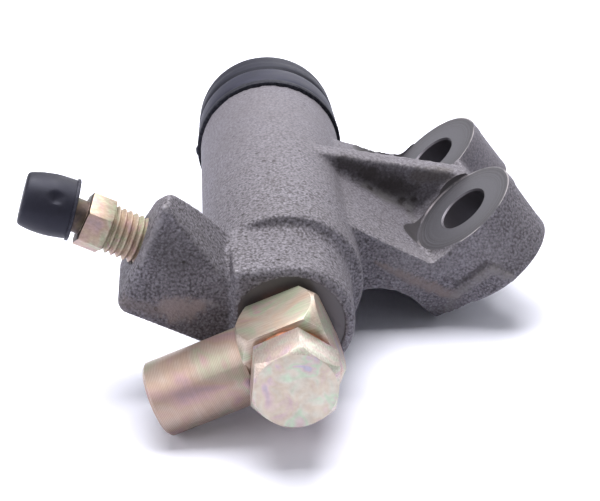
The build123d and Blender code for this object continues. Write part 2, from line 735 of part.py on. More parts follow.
def rod_end():
    """Domed end piece that bears on the release fork."""
    start = NUT_Y + NUT_THICKNESS
    dome_r = (ROD_TIP_R**2 + ROD_TIP_DOME**2) / (2 * ROD_TIP_DOME)
    shank = Cylinder(ROD_TIP_R, ROD_TIP_LENGTH, align=(Align.CENTER, Align.CENTER, Align.MIN))
    ball = Pos(0, 0, ROD_TIP_LENGTH - dome_r) * Sphere(dome_r)
    socket = Cylinder(ROD_R + THREAD_CLEARANCE, 2 * (ROD_END_Y - start + THREAD_CLEARANCE))
    return bore_plane(start) * ((shank & ball) - socket)


def dust_boot():
    """Rubber boot: lip on the barrel's end, a long bell, a fold and a neck on the rod."""
    seat_r = BOOT_SEAT_R + RUNNING_CLEARANCE
    bead_r = BOOT_GROOVE_R + RUNNING_CLEARANCE
    bead_y = BOOT_GROOVE_Y + RUNNING_CLEARANCE
    bead_end = BOOT_GROOVE_Y + BOOT_GROOVE_WIDTH - RUNNING_CLEARANCE
    rod_hole = ROD_R + RUNNING_CLEARANCE
    bell = [point for point in BOOT_OUTSIDE if point[1] > OPEN_END_Y]
    under_fold = [(r, y - BOOT_WALL) for r, y in reversed(BOOT_FOLD)]
    inside_bell = [(r - BOOT_WALL, y - 0.3) for r, y in reversed(bell[:-2])]
    return bore_plane(0) * turned(
        (seat_r, BOOT_OUTSIDE[0][1]),
        *BOOT_OUTSIDE,
        *BOOT_FOLD,
        (BOOT_NECK_R, BOOT_FOLD[-1][1] + 1.0),
        (BOOT_NECK_R, BOOT_NECK_Y),
        (rod_hole, BOOT_NECK_Y),
        (rod_hole, BOOT_FOLD[-1][1] - 0.6),
        *under_fold,
        (BOOT_OUTSIDE[-1][0] - 0.4, BOOT_OUTSIDE[-1][1] - BOOT_WALL),
        *inside_bell,
        (seat_r, OPEN_END_Y),
        (seat_r, bead_end),
        (bead_r, bead_end),
        (bead_r, bead_y),
        (seat_r, bead_y),
    )


PIECES = {
    "cylinder_body": cylinder_body(),
    "piston": piston(),
    "primary_cup": cup(PISTON_FRONT_Y - CUP_LENGTH, PISTON_NOSE_R + RUNNING_CLEARANCE),
    "secondary_cup": cup(
        PISTON_REAR_Y - PISTON_GROOVE_SETBACK - CUP_LENGTH, PISTON_GROOVE_R + RUNNING_CLEARANCE
    ),
    "spring_seat": spring_seat(),
    "return_spring": return_spring(),
    "retaining_ring": retaining_ring(),
    "pushrod": pushrod(),
    "lock_nut": lock_nut(),
    "rod_end": rod_end(),
    "dust_boot": dust_boot(),
    "union_bolt": union_bolt(),
    "pipe_union": pipe_union(),
    "head_gasket": gasket(BOLT_SEAT_Y),
    "body_gasket": gasket(UNION_REAR_Y),
    "bleed_screw": bleed_screw(),
    "bleed_cap": bleed_cap(),
}

MOUNT_CENTRE = FLANGE_PLANE.from_local_coords(
    ((NEAR_HOLE_E + FAR_HOLE_E) / 2, (NEAR_HOLE_Y + FAR_HOLE_Y) / 2, MOUNTING_FACE_N)
)
TO_ORIGIN = Location((-MOUNT_CENTRE.X, -MOUNT_CENTRE.Y, -MOUNT_CENTRE.Z))

os.makedirs("parts", exist_ok=True)
for name, piece in PIECES.items():
    placed = piece.moved(TO_ORIGIN)
    export_step(placed, f"parts/{name}.step")
    box = placed.bounding_box()
    print(f"{name:16s} {placed.volume:10.1f} mm3  z {box.min.Z:7.2f} to {box.max.Z:7.2f}")
print("mounting centre in the bore frame", MOUNT_CENTRE)
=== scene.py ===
# %% [markdown]
# A cast-iron clutch slave cylinder lies on a pale table. Its solids come from the imported CAD model, which stands as a
# fixed frame in metres. This lesson dresses that frame: some solids get a better surface, others are rebuilt with more
# detail in the same place. The frame's own box is kept, so that the dressed object's growth can be measured at the end.
# The frame's own box is kept, because the dressed object must not grow beyond it.

# %% Load the frame and note its size
import math
import bmesh
import bpy
from mathutils import Matrix, Vector


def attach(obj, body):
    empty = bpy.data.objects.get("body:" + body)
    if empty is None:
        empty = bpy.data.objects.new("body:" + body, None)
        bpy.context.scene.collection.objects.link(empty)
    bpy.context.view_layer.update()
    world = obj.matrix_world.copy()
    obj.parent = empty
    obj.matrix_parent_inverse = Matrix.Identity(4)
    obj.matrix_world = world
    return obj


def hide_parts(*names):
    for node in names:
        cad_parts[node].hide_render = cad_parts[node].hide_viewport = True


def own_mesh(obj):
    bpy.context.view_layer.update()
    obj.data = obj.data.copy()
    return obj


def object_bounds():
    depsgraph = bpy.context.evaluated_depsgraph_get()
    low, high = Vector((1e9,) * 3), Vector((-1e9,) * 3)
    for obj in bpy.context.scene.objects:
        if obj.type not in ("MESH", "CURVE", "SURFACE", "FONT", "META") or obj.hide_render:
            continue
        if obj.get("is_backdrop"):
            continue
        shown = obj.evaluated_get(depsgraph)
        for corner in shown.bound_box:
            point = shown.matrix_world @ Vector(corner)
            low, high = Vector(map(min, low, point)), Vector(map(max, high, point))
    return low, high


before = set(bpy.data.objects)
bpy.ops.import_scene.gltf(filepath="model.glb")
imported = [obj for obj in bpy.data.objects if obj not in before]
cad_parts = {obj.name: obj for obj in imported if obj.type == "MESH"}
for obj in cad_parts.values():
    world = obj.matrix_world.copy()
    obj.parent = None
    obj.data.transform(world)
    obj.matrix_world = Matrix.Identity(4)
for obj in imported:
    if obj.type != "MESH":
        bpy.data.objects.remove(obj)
cad_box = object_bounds()
scene = bpy.context.scene

# %% [markdown]
# The workshop drawing measures from the bore's axis, in millimetres. The frame's own origin lies between the two
# mounting holes instead. Two small functions turn a drawing point into a frame point and back, so the numbers below
# can be read like a drawing. Three slanted features have a direction of their own: the ears, the bleed screw and the
# pipe stub.

# %% Drawing points and the slanted directions
MM = 0.001
BORE_START = Vector((-47.4627, -54.45, 6.27202))


def spot(x, y, z):
    """Frame point of a drawing point in millimetres."""
    return (Vector((x, y, z)) + BORE_START) * MM


def on_drawing(point):
    """Drawing point, in millimetres, of a frame point."""
    return (point - spot(0, 0, 0)) / MM


def leaning(turn_deg):
    """Direction square to the bore, turned up from +X."""
    return Vector((math.cos(math.radians(turn_deg)), 0, math.sin(math.radians(turn_deg))))


BORE_WAY = Vector((0, 1, 0))
EAR_WAY = leaning(39.8)
FACE_WAY = leaning(129.8)
BLEED_WAY = leaning(153.5)
STUB_WAY = leaning(202.6)
BLEED_FOOT = spot(0, 11.1, 0)
STUB_FOOT = spot(0, -8, 0)
print("bleed screw starts at", [round(v, 4) for v in BLEED_FOOT])

# %% [markdown]
# The camera stands where the photographer stood: a step in front of the closed end, looking down at about 28 degrees
# through a long lens. It could be aimed by hand. Here its place and turn were measured once and are written down, so
# every drawing point falls on the same spot of the picture.

# %% Camera
eye = Vector((-0.062532, -0.349202, 0.179219))
look = Vector((0.05194, 0.88253, -0.46740)).normalized()
side = look.cross(Vector((0, 0, 1))).normalized()
top = side.cross(look)
roll = 0.0049
across = math.cos(roll) * side - math.sin(roll) * top
upward = math.sin(roll) * side + math.cos(roll) * top
lens = bpy.data.cameras.new("camera")
lens.lens = 104.1
lens.sensor_width = 36
lens.clip_start = 0.01
camera = bpy.data.objects.new("camera", lens)
place = Matrix((across, upward, -look)).transposed().to_4x4()
place.translation = eye
camera.matrix_world = place
scene.collection.objects.link(camera)
scene.camera = camera
scene.view_settings.view_transform = "Standard"
print("camera looks down by", round(math.degrees(math.asin(-look.z)), 1), "degrees")

# %% [markdown]
# Shader nodes are placed by one helper, so that a room or a material reads as a short list. A key that names a socket
# sets that socket, and any other key sets the node itself.

# %% Helper that places a node
def put(tree, kind, sockets=None, **settings):
    """Add a shader node, set its own settings, then its sockets."""
    made = tree.nodes.new("ShaderNode" + kind)
    for key, value in settings.items():
        setattr(made, key, value)
    for key, value in (sockets or {}).items():
        if isinstance(value, bpy.types.NodeSocket):
            tree.links.new(value, made.inputs[key])
        else:
            made.inputs[key].default_value = value
    return made


print("node helper ready")

# %% [markdown]
# Product light is one large soft lamp above and two weaker ones from the left and from behind, in a bright white room.
# The lamps stay at a plain level, so a colour renders about as it is written. The room is pure white only for the
# camera and, by about half, for reflections, which keeps the object itself from being over-lit.

# %% Lamps and white room
def soft_lamp(name, where, aim, size, power, tint):
    """Square area lamp that faces a point."""
    lamp = bpy.data.lights.new(name, "AREA")
    lamp.shape = "SQUARE"
    lamp.size = size
    lamp.energy = power
    lamp.color = tint
    body = bpy.data.objects.new(name, lamp)
    body.location = where
    body.rotation_euler = (Vector(aim) - Vector(where)).to_track_quat("-Z", "Y").to_euler()
    scene.collection.objects.link(body)
    return body


middle = spot(0, 40, 0)
soft_lamp("top_lamp", (-0.05, 0.14, 0.62), middle, 0.55, 8.6, (1.0, 0.99, 1.0))
soft_lamp("left_lamp", (-0.65, -0.25, 0.35), middle, 0.5, 1.8, (0.97, 0.97, 1.0))
soft_lamp("back_lamp", (0.25, 0.75, 0.30), middle, 0.5, 2.0, (0.96, 0.96, 1.0))

room = bpy.data.worlds.new("white_room")
scene.world = room
room.use_nodes = True
sky = room.node_tree
sky.nodes.clear()
seen = put(sky, "Background", {"Color": (1.0, 1.0, 1.0, 1), "Strength": 1.0})
lit = put(sky, "Background", {"Color": (0.95, 0.96, 1.0, 1), "Strength": 0.24})
path = put(sky, "LightPath")
mirrored = put(sky, "Math", {0: path.outputs["Is Glossy Ray"], 1: 0.55, 2: path.outputs["Is Camera Ray"]},
               operation="MULTIPLY_ADD", use_clamp=True)
pick = put(sky, "MixShader", {0: mirrored.outputs[0], 1: lit.outputs[0], 2: seen.outputs[0]})
put(sky, "OutputWorld", {"Surface": pick.outputs[0]})

# %% [markdown]
# Some nodes come up again and again: sums, a value stretched to a new range, a mix of two colours, a noise and vector
# maths. Each gets a short name here.

# %% Short names for common nodes
def sums(tree, operation, first, second=0.0, clamp=False):
    """One Math node; returns its result."""
    return put(tree, "Math", {0: first, 1: second}, operation=operation, use_clamp=clamp).outputs[0]


def times(tree, first, second):
    """Product of two values."""
    return sums(tree, "MULTIPLY", first, second)


def spread(tree, value, low, high, to_low=0.0, to_high=1.0):
    """Stretch a value from one range to another, clamped."""
    made = put(tree, "MapRange", {"Value": value, 1: low, 2: high, 3: to_low, 4: to_high})
    return made.outputs["Result"]


def tone(tree, amount, first, second):
    """Mix two colours, each a socket or three numbers, by an amount."""
    made = put(tree, "Mix", data_type="RGBA")
    for socket, value in ((made.inputs[0], amount), (made.inputs[6], first), (made.inputs[7], second)):
        if isinstance(value, bpy.types.NodeSocket):
            tree.links.new(value, socket)
        else:
            socket.default_value = value if isinstance(value, float) else (*value, 1)
    return made.outputs[2]


def here(tree):
    """Place of the shaded point on its object."""
    return put(tree, "TexCoord").outputs["Object"]


def noise(tree, where, scale, **more):
    """Soft noise, read at a place."""
    return put(tree, "TexNoise", {"Vector": where, "Scale": scale, **more}).outputs[0]


def vectors(tree, operation, first, second=None, result="Vector"):
    """One Vector Math node; returns its vector or its value."""
    sockets = {0: first} if second is None else {0: first, 1: second}
    return put(tree, "VectorMath", sockets, operation=operation).outputs[result]


def scaled(tree, vector, share):
    """Vector times a value."""
    return put(tree, "VectorMath", {0: vector, "Scale": share}, operation="SCALE").outputs[0]


print("short names ready")

# %% [markdown]
# Every material here has one Principled shader, and nearly all of them end in the same way: a colour, a roughness and
# a bump, each read from the nodes before it.

# %% Empty finish and its surface
def new_finish(name, **plain):
    """Empty material with one Principled shader, its plain numbers set."""
    finish = bpy.data.materials.new(name)
    finish.use_nodes = True
    tree = finish.node_tree
    tree.nodes.clear()
    shader = put(tree, "BsdfPrincipled", plain)
    put(tree, "OutputMaterial", {"Surface": shader.outputs[0]})
    return finish, tree, shader


def surface(tree, shader, colour, roughness, height, strength, depth):
    """Give a shader its colour, its roughness and a bump whose depth is in millimetres."""
    tree.links.new(colour, shader.inputs["Base Color"])
    tree.links.new(roughness, shader.inputs["Roughness"])
    bump = put(tree, "Bump", {"Height": height, "Strength": strength, "Distance": depth * MM})
    tree.links.new(bump.outputs[0], shader.inputs["Normal"])


print("finish helpers ready")

# %% [markdown]
# The floor is one plain pale sheet. A sweep would also work, but the photograph shows no horizon: the table simply
# runs out into white. So the floor is large, and for the camera alone it gives a little light of its own. That light
# grows with the distance from the object, which takes the far part to white and keeps the soft shadow near it.

# %% Floor
FLOOR_Z = -0.01140
FLOOR_HALF = 6
shape = bmesh.new()
bmesh.ops.create_grid(shape, x_segments=1, y_segments=1, size=FLOOR_HALF)
bmesh.ops.translate(shape, verts=shape.verts[:], vec=(0, 0, FLOOR_Z))
floor_mesh = bpy.data.meshes.new("floor")
shape.to_mesh(floor_mesh)
shape.free()
floor = bpy.data.objects.new("floor", floor_mesh)
scene.collection.objects.link(floor)
floor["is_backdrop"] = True
pale, tree, shader = new_finish("pale_floor", Roughness=0.9)
shader.inputs["Base Color"].default_value = (0.87, 0.88, 0.97, 1)
shader.inputs["Specular IOR Level"].default_value = 0.1
shader.inputs["Emission Color"].default_value = (0.97, 0.97, 1.0, 1)
away = vectors(tree, "DISTANCE", here(tree), spot(0, 35, 0), "Value")
near_part = spread(tree, away, 0.038, 0.18, 0.0, 0.52)
far_part = spread(tree, away, 0.25, 1.2, 0.0, 0.45)
to_camera = put(tree, "LightPath").outputs["Is Camera Ray"]
tree.links.new(times(tree, to_camera, sums(tree, "ADD", near_part, far_part)), shader.inputs["Emission Strength"])
floor_mesh.materials.append(pale)
print("floor at", FLOOR_Z)

# %% [markdown]
# Sand casting leaves a skin of fine granules: dark pores between lighter grains, with slow patches of tone from the
# mould. The same grain, weaker, also dusts the machined faces, the oily steel and the copper, so it is a node group.
# It puts out the grain, the slow patches, a few deep pits and a height for the bump.

# %% Casting grain group
def new_group(name, inputs, outputs):
    """Shader node group; an input is a float with its value, or a vector where that is None."""
    group = bpy.data.node_groups.new(name, "ShaderNodeTree")
    for label, value in inputs:
        kind = "NodeSocketVector" if value is None else "NodeSocketFloat"
        socket = group.interface.new_socket(label, in_out="INPUT", socket_type=kind)
        if value is not None:
            socket.default_value = value
    for label, kind in outputs:
        group.interface.new_socket(label, in_out="OUTPUT", socket_type=kind)
    return group, group.nodes.new("NodeGroupInput"), group.nodes.new("NodeGroupOutput")


tree, taken, given = new_group(
    "casting_grain", [("Grain size", 0.8), ("Pit share", 0.3)],
    [(label, "NodeSocketFloat") for label in ("Grain", "Patches", "Pits", "Height")])
grain_group = tree
where = here(tree)
fineness = sums(tree, "DIVIDE", 1000.0, taken.outputs["Grain size"])
fine = noise(tree, where, fineness, Detail=5.0, Roughness=0.62)
clump = put(tree, "TexVoronoi", {"Vector": where, "Scale": fineness, "Randomness": 1.0}, feature="SMOOTH_F1")
slow = noise(tree, where, 130.0, Detail=4.0, Roughness=0.6)
pores = spread(tree, clump.outputs["Distance"], 0.15, 0.75)
speckled = sums(tree, "SUBTRACT", fine, times(tree, pores, taken.outputs["Pit share"]))
hollows = put(tree, "TexVoronoi", {"Vector": where, "Scale": 300.0, "Randomness": 1.0}, feature="F1")
rare = spread(tree, noise(tree, where, 170.0), 0.50, 0.60)
pits = times(tree, spread(tree, hollows.outputs["Distance"], 0.17, 0.10), rare)
tree.links.new(spread(tree, speckled, 0.18, 0.66), given.inputs["Grain"])
tree.links.new(spread(tree, slow, 0.35, 0.68), given.inputs["Patches"])
tree.links.new(pits, given.inputs["Pits"])
tree.links.new(sums(tree, "SUBTRACT", speckled, times(tree, pits, 0.8)), given.inputs["Height"])
print("group", tree.name, "outputs", [s.name for s in given.inputs if s.name])

# %% [markdown]
# Handling polishes whatever stands proud. Cycles knows how convex a mesh is at each point (its pointiness), so an
# edge mask can be made from that and broken up with noise. It needs a dense mesh, such as the casting or the rubber
# pieces. The casting, the rubber, the bare steel and the copper use it, each with its own amount.

# %% Edge wear group
tree, taken, given = new_group(
    "edge_wear", [("Start", 0.51), ("Full", 0.56), ("Break up", 0.5)], [("Mask", "NodeSocketFloat")])
wear_group = tree
convex = put(tree, "NewGeometry").outputs["Pointiness"]
edge = spread(tree, convex, taken.outputs["Start"], taken.outputs["Full"])
flecks = spread(tree, noise(tree, here(tree), 1500.0, Detail=3.0), 0.62, 0.40)
gaps = times(tree, flecks, taken.outputs["Break up"])
tree.links.new(sums(tree, "SUBTRACT", edge, gaps, clamp=True), given.inputs["Mask"])
print("group", tree.name)


def use_group(tree, group, **values):
    """Place a group node with its own values."""
    made = put(tree, "Group", node_tree=group)
    for label, value in values.items():
        made.inputs[label.replace("_", " ")].default_value = value
    return made


# %% [markdown]
# Where the parting line was ground off, and where the bleeder block was filed, the skin is smoother and brownish. Just
# above the ground ridge a dark line is painted shade under its overhang. In the pocket beside the web, the dark at the
# foot of the rib is painted shade, with a few dark pits and some grey dust. Each such mark is drawn round a short line
# between two points. The group gives a mask that fades with the distance from that line and is frayed by noise. The
# ridge's points later raise the parting ridge in the mesh too.

# %% Band group for wear and painted shade
FRAY = 2.6
tree, taken, given = new_group(
    "wear_and_shade_band", [("Radius", 1.5), ("From", None), ("To", None)], [("Mask", "NodeSocketFloat")])
band_group = tree
where = here(tree)
run = vectors(tree, "SUBTRACT", taken.outputs["To"], taken.outputs["From"])
offset = vectors(tree, "SUBTRACT", where, taken.outputs["From"])
passed = vectors(tree, "DOT_PRODUCT", offset, run, "Value")
whole = vectors(tree, "DOT_PRODUCT", run, run, "Value")
nearest = scaled(tree, run, sums(tree, "DIVIDE", passed, whole, clamp=True))
gap = times(tree, vectors(tree, "DISTANCE", offset, nearest, "Value"), 1000.0)
frayed = times(tree, noise(tree, where, 700.0, Detail=4.0, Roughness=0.7), FRAY)
ragged = sums(tree, "ADD", sums(tree, "DIVIDE", gap, taken.outputs["Radius"]), frayed)
tree.links.new(spread(tree, ragged, 2.65, 1.75), given.inputs["Mask"])
print("group", tree.name)

# %% [markdown]
# The marks were placed on the photograph. Each has its two ends, its reach in millimetres, how much it covers
# and its colour.

# %% Places of the marks
RIDGE = [spot(19.9, 26.2, -0.4), spot(21.8, 26.3, -1.6), spot(25.0, 26.3, -3.4), spot(28.5, 26.5, -5.5),
         spot(32.1, 27.2, -7.6), spot(34.8, 27.5, -9.3), spot(37.2, 27.3, -9.6), spot(39.0, 26.8, -8.0),
         spot(42.1, 25.8, -4.5), spot(44.9, 25.2, -2.4), spot(47.2, 24.9, -3.6), spot(48.8, 24.7, -4.3)]
RIDGE_R = [0.4, 0.7, 1.0, 1.25, 1.3, 1.2, 1.0, 1.0, 1.0, 1.0, 0.9]
WORN_BROWN, WORN_GREY, SOOT_AND_PAINTED_SHADE, DUST, PALE, OLIVE, FILED = (
    (0.180, 0.146, 0.142), (0.190, 0.176, 0.180), (0.038, 0.032, 0.034), (0.150, 0.144, 0.148), (0.250, 0.235, 0.250),
    (0.105, 0.092, 0.084), (0.262, 0.214, 0.212))
MARKS = [(spot(26, 26, -1), spot(43.5, 25.5, 1.5), 5.0, 0.25, PALE)]
MARKS += [(first, second, reach * 1.1, 0.75 if step < 6 else 0.60, WORN_BROWN if step < 6 else WORN_GREY)
          for step, (first, second, reach) in enumerate(zip(RIDGE, RIDGE[1:], RIDGE_R))]
MARKS += [
    (spot(36.7, 28.0, -11.3), spot(35.7, 29.3, -14.7), 1.2, 0.40, WORN_GREY),
    # The next three dark lines, just above the ground ridge, are painted shade under its overhang.
    (spot(37.0, 26.9, -7.3), spot(39.2, 26.3, -5.2), 0.6, 0.55, SOOT_AND_PAINTED_SHADE),
    (spot(39.2, 26.3, -5.2), spot(43.1, 25.4, -1.3), 0.7, 0.65, SOOT_AND_PAINTED_SHADE),
    (spot(44.0, 25.3, -1.2), spot(48.7, 24.8, -2.8), 0.5, 0.35, SOOT_AND_PAINTED_SHADE),
    (spot(-24.0, 2.1, 4.2), spot(-17.7, 2.1, 4.1), 2.0, 0.85, FILED),
    (spot(-22.9, 2.2, 2.2), spot(-19.3, 2.2, 2.8), 1.8, 0.80, FILED),
    (spot(-32.1, 2.4, 5.2), spot(-26.0, 2.1, 3.6), 1.5, 0.50, WORN_BROWN),
    (spot(-16.5, 2.0, 5.4), spot(-14.2, 2.1, 4.2), 0.6, 0.55, PALE),
    (spot(-24.6, 2.5, 17.5), spot(-19.7, 2.3, 13.9), 3.6, 0.40, SOOT_AND_PAINTED_SHADE),
    (spot(-23.6, 4.0, 24.6), spot(-23.6, 3.6, 24.0), 0.45, 0.9, SOOT_AND_PAINTED_SHADE),
    (spot(-24.3, 2.9, 23.0), spot(-28.8, 2.6, 14.0), 0.8, 0.45, PALE),
    # The next three dark bands along the foot of the rib are painted shade; the small dark dots further down are pits.
    (spot(14.9, 51.2, 11.4), spot(20.5, 51.2, 8.4), 2.0, 0.75, SOOT_AND_PAINTED_SHADE),
    (spot(20.5, 51.2, 7.8), spot(25.5, 51.2, 6.0), 2.8, 0.80, SOOT_AND_PAINTED_SHADE),
    (spot(24.3, 51.2, 4.8), spot(29.5, 51.2, 4.0), 2.4, 0.80, SOOT_AND_PAINTED_SHADE),
    (spot(20.0, 50.8, 5.4), spot(24.4, 49.7, 2.8), 1.4, 0.55, DUST),
    (spot(24.4, 49.7, 2.6), spot(30.0, 50.8, 0.9), 1.8, 0.60, DUST),
    (spot(30.0, 50.8, 0.6), spot(30.1, 45.0, -0.3), 1.3, 0.45, DUST),
    (spot(21.1, 50.9, 5.0), spot(20.8, 50.8, 5.2), 0.6, 0.9, SOOT_AND_PAINTED_SHADE),
    (spot(28.1, 51.0, 1.5), spot(27.8, 50.8, 1.4), 0.9, 0.9, SOOT_AND_PAINTED_SHADE),
    (spot(31.1, 51.2, 1.9), spot(30.8, 51.2, 1.7), 0.7, 0.9, SOOT_AND_PAINTED_SHADE),
    (spot(29.4, 48.8, 0.0), spot(29.3, 48.6, 0.0), 0.6, 0.8, SOOT_AND_PAINTED_SHADE),
    (spot(31.6, 51.2, 7.4), spot(37.6, 51.2, 7.6), 1.9, 0.55, OLIVE),
]
print("marks", len(MARKS))

# %% [markdown]
# The rough casting is grey iron: mid-grey grains over near-black pores, slow warm and cool patches, pale flecks on
# the proud edges, and a bump from the same grain so that light catches each granule. The grain is coarse at the
# closed end and finer along the barrel. The iron is only partly metallic, because the skin is oxide and sand scale.

# %% Rough cast iron
iron, tree, shader = new_finish("rough_cast_iron", Metallic=0.35)
grain = use_group(tree, grain_group, Grain_size=0.50, Pit_share=0.30)
wear = use_group(tree, wear_group, Start=0.510, Full=0.560, Break_up=0.60)
along = put(tree, "SeparateXYZ", {"Vector": here(tree)}).outputs["Y"]
coarse = spread(tree, along, spot(0, 22, 0).y, spot(0, 70, 0).y, 1.0, 0.35)
evened = sums(tree, "ADD", times(tree, sums(tree, "SUBTRACT", grain.outputs["Grain"], 0.5), coarse), 0.5)
colour = tone(tree, evened, (0.060, 0.054, 0.060), (0.262, 0.247, 0.286))
colour = tone(tree, times(tree, grain.outputs["Patches"], 0.30), colour, (0.108, 0.098, 0.104))
colour = tone(tree, times(tree, grain.outputs["Pits"], coarse), colour, (0.022, 0.019, 0.020))
colour = tone(tree, times(tree, wear.outputs["Mask"], 0.55), colour, (0.36, 0.345, 0.365))
for first, second, reach, share, mark in MARKS:
    band = use_group(tree, band_group, Radius=reach, From=first, To=second)
    colour = tone(tree, times(tree, band.outputs["Mask"], share), colour, mark)
surface(tree, shader, colour, spread(tree, grain.outputs["Grain"], 0.0, 1.0, 0.80, 0.56),
        grain.outputs["Height"], times(tree, coarse, 0.75), 0.22)
print("finish", iron.name)

# %% [markdown]
# A spotface cutter leaves fine rings round the hole it is centred on. The distance from the nearer hole's axis is
# worked out from the Object coordinates with vector maths. It drives the rings, the hole's wall painted darker as
# painted shade, and a pale rim, a painted highlight, that shows on the flat of the spotface only. The seat of the
# union, the bore and the bleed hole lie farther off and keep a dark, rougher cut.

# %% Machined iron
EAR_TOP, EAR_FOOT = -21.3, -35.2
HOLES = [spot(*(EAR_WAY * 34.1 + BORE_WAY * 38.5)), spot(*(EAR_WAY * 30.8 + BORE_WAY * 70.4))]
HOLE_EDGE_R, RIM_R, EAR_END_R = 5.85, 12.5, 14.0


def axis_distance(tree, through, along):
    """Distance in millimetres from a line, over the surface."""
    crossed = vectors(tree, "CROSS_PRODUCT", vectors(tree, "SUBTRACT", here(tree), through), along)
    return times(tree, vectors(tree, "LENGTH", crossed, result="Value"), 1000.0)


machined, tree, shader = new_finish("machined_iron", Metallic=0.75)
reach = sums(tree, "MINIMUM", *[axis_distance(tree, hole, FACE_WAY) for hole in HOLES])
rings = put(tree, "TexNoise", {"W": times(tree, reach, 2.6), "Scale": 1.0, "Detail": 3.0}, noise_dimensions="1D")
rings = rings.outputs[0]
grain = use_group(tree, grain_group, Grain_size=0.5, Pit_share=0.2).outputs["Grain"]
outer = spread(tree, reach, 8.0, 11.5, 0.15, 1.0)
colour = tone(tree, times(tree, spread(tree, rings, 0.35, 0.65), outer), (0.150, 0.148, 0.166), (0.085, 0.080, 0.086))
colour = tone(tree, times(tree, grain, 0.22), colour, (0.21, 0.20, 0.22))
# Inside the bolt hole the wall turns near-black: painted shade.
colour = tone(tree, spread(tree, reach, HOLE_EDGE_R - 0.1, HOLE_EDGE_R + 0.1), (0.088, 0.082, 0.094), colour)
rough_cut = tone(tree, grain, (0.060, 0.050, 0.052), (0.140, 0.124, 0.130))
colour = tone(tree, spread(tree, reach, EAR_END_R, EAR_END_R + 0.5), colour, rough_cut)
from_hole = vectors(tree, "SUBTRACT", here(tree), HOLES[0])
level = times(tree, vectors(tree, "DOT_PRODUCT", from_hole, FACE_WAY, "Value"), 1000.0)
flat = spread(tree, level, EAR_TOP + 0.3, EAR_TOP + 0.15)
colour = tone(tree, flat, (0.110, 0.103, 0.108), colour)
# Pale rim at the spotface's outer edge: a painted highlight, broken up by noise.
rubbed = spread(tree, noise(tree, here(tree), 160.0), 0.40, 0.60)
rim = times(tree, spread(tree, reach, RIM_R - 0.65, RIM_R - 0.35, 0.0, 0.95), spread(tree, reach, RIM_R + 0.1, RIM_R))
colour = tone(tree, times(tree, times(tree, rim, rubbed), flat), colour, (0.56, 0.52, 0.54))
surface(tree, shader, colour, spread(tree, rings, 0.3, 0.7, 0.50, 0.42), rings, 0.3, 0.05)
print("finish", machined.name)

# %% [markdown]
# Most metal pieces here were turned on a lathe, so they are made the same way: a half outline is spun once round its
# axis. The helper takes radius and height pairs in millimetres, closes the seam and the poles, and turns the normals
# outwards. Two more round the sharp edges of a shape and join several shapes into one.

# %% Helpers that turn, soften and join
def turn(outline, foot, way, steps=96, closed=False):
    """Spin a (radius, height) outline in millimetres round an axis."""
    way = Vector(way).normalized()
    arm = way.orthogonal().normalized()
    shape = bmesh.new()
    points = [shape.verts.new(foot + arm * (r * MM) + way * (h * MM)) for r, h in outline]
    for first, second in zip(points, points[1:]):
        shape.edges.new((first, second))
    if closed:
        shape.edges.new((points[-1], points[0]))
    bmesh.ops.spin(shape, geom=shape.verts[:] + shape.edges[:], cent=foot, axis=way, angle=math.tau, steps=steps,
                   use_merge=True)
    bmesh.ops.remove_doubles(shape, verts=shape.verts[:], dist=2e-7)
    bmesh.ops.recalc_face_normals(shape, faces=shape.faces[:])
    return shape


def soften(shape, size, angle_deg=25.0, segments=3):
    """Round every edge sharper than an angle; returns the new narrow faces."""
    sharp = [e for e in shape.edges if len(e.link_faces) == 2 and e.calc_face_angle(0) > math.radians(angle_deg)]
    made = bmesh.ops.bevel(shape, geom=sharp, offset=size * MM, offset_type="OFFSET", segments=segments, profile=0.5,
                           affect="EDGES", clamp_overlap=True, material=-1)
    return made["faces"]


def join_shapes(first, *others):
    """Put several shapes into the first."""
    for other in others:
        spare = bpy.data.meshes.new("spare")
        other.to_mesh(spare)
        other.free()
        first.from_mesh(spare)
        bpy.data.meshes.remove(spare)
    return first


print("shape helpers ready")

# %% [markdown]
# A finished shape becomes an object in the scene, shaded smooth except at its creases. Some pieces start from a copy
# of a CAD solid, and the casting is made with modifiers, which then become part of its mesh.

# %% Helpers that show, copy and apply
def show(shape, name, finishes, crease_deg=32.0):
    """Make an object of a shape, smooth except at its creases."""
    mesh = bpy.data.meshes.new(name)
    shape.to_mesh(mesh)
    shape.free()
    for finish in finishes:
        mesh.materials.append(finish)
    piece = bpy.data.objects.new(name, mesh)
    scene.collection.objects.link(piece)
    smooth_shading(piece, crease_deg)
    print(name, "faces", len(mesh.polygons))
    return piece


def smooth_shading(piece, crease_deg):
    """Shade smooth, with edges past an angle left sharp."""
    piece.data.shade_smooth()
    piece.data.set_sharp_from_angle(angle=math.radians(crease_deg))


def copy_of(node):
    """Shape of a CAD solid, its loose triangles merged."""
    shape = bmesh.new()
    shape.from_mesh(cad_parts[node].data)
    bmesh.ops.remove_doubles(shape, verts=shape.verts[:], dist=2e-7)
    return shape


def apply_modifiers(piece):
    """Make an object's modifiers part of its mesh."""
    bpy.context.view_layer.update()
    made = bpy.data.meshes.new_from_object(piece.evaluated_get(bpy.context.evaluated_depsgraph_get()))
    piece.modifiers.clear()
    piece.data = made


print("piece helpers ready")

# %% [markdown]
# The casting is the main piece. The CAD solid has knife-sharp corners, but a sand casting has none: every outside
# edge is rounded and every inside corner is filled. Bevelling such a body edge by edge is slow, so it is made as the
# foundry makes it. The holes are first plugged and a little stock is left on the ears, at the spotfaces and at the
# mounting face. Then a voxel remesh wraps it all in one even skin, and smoothing rounds it.

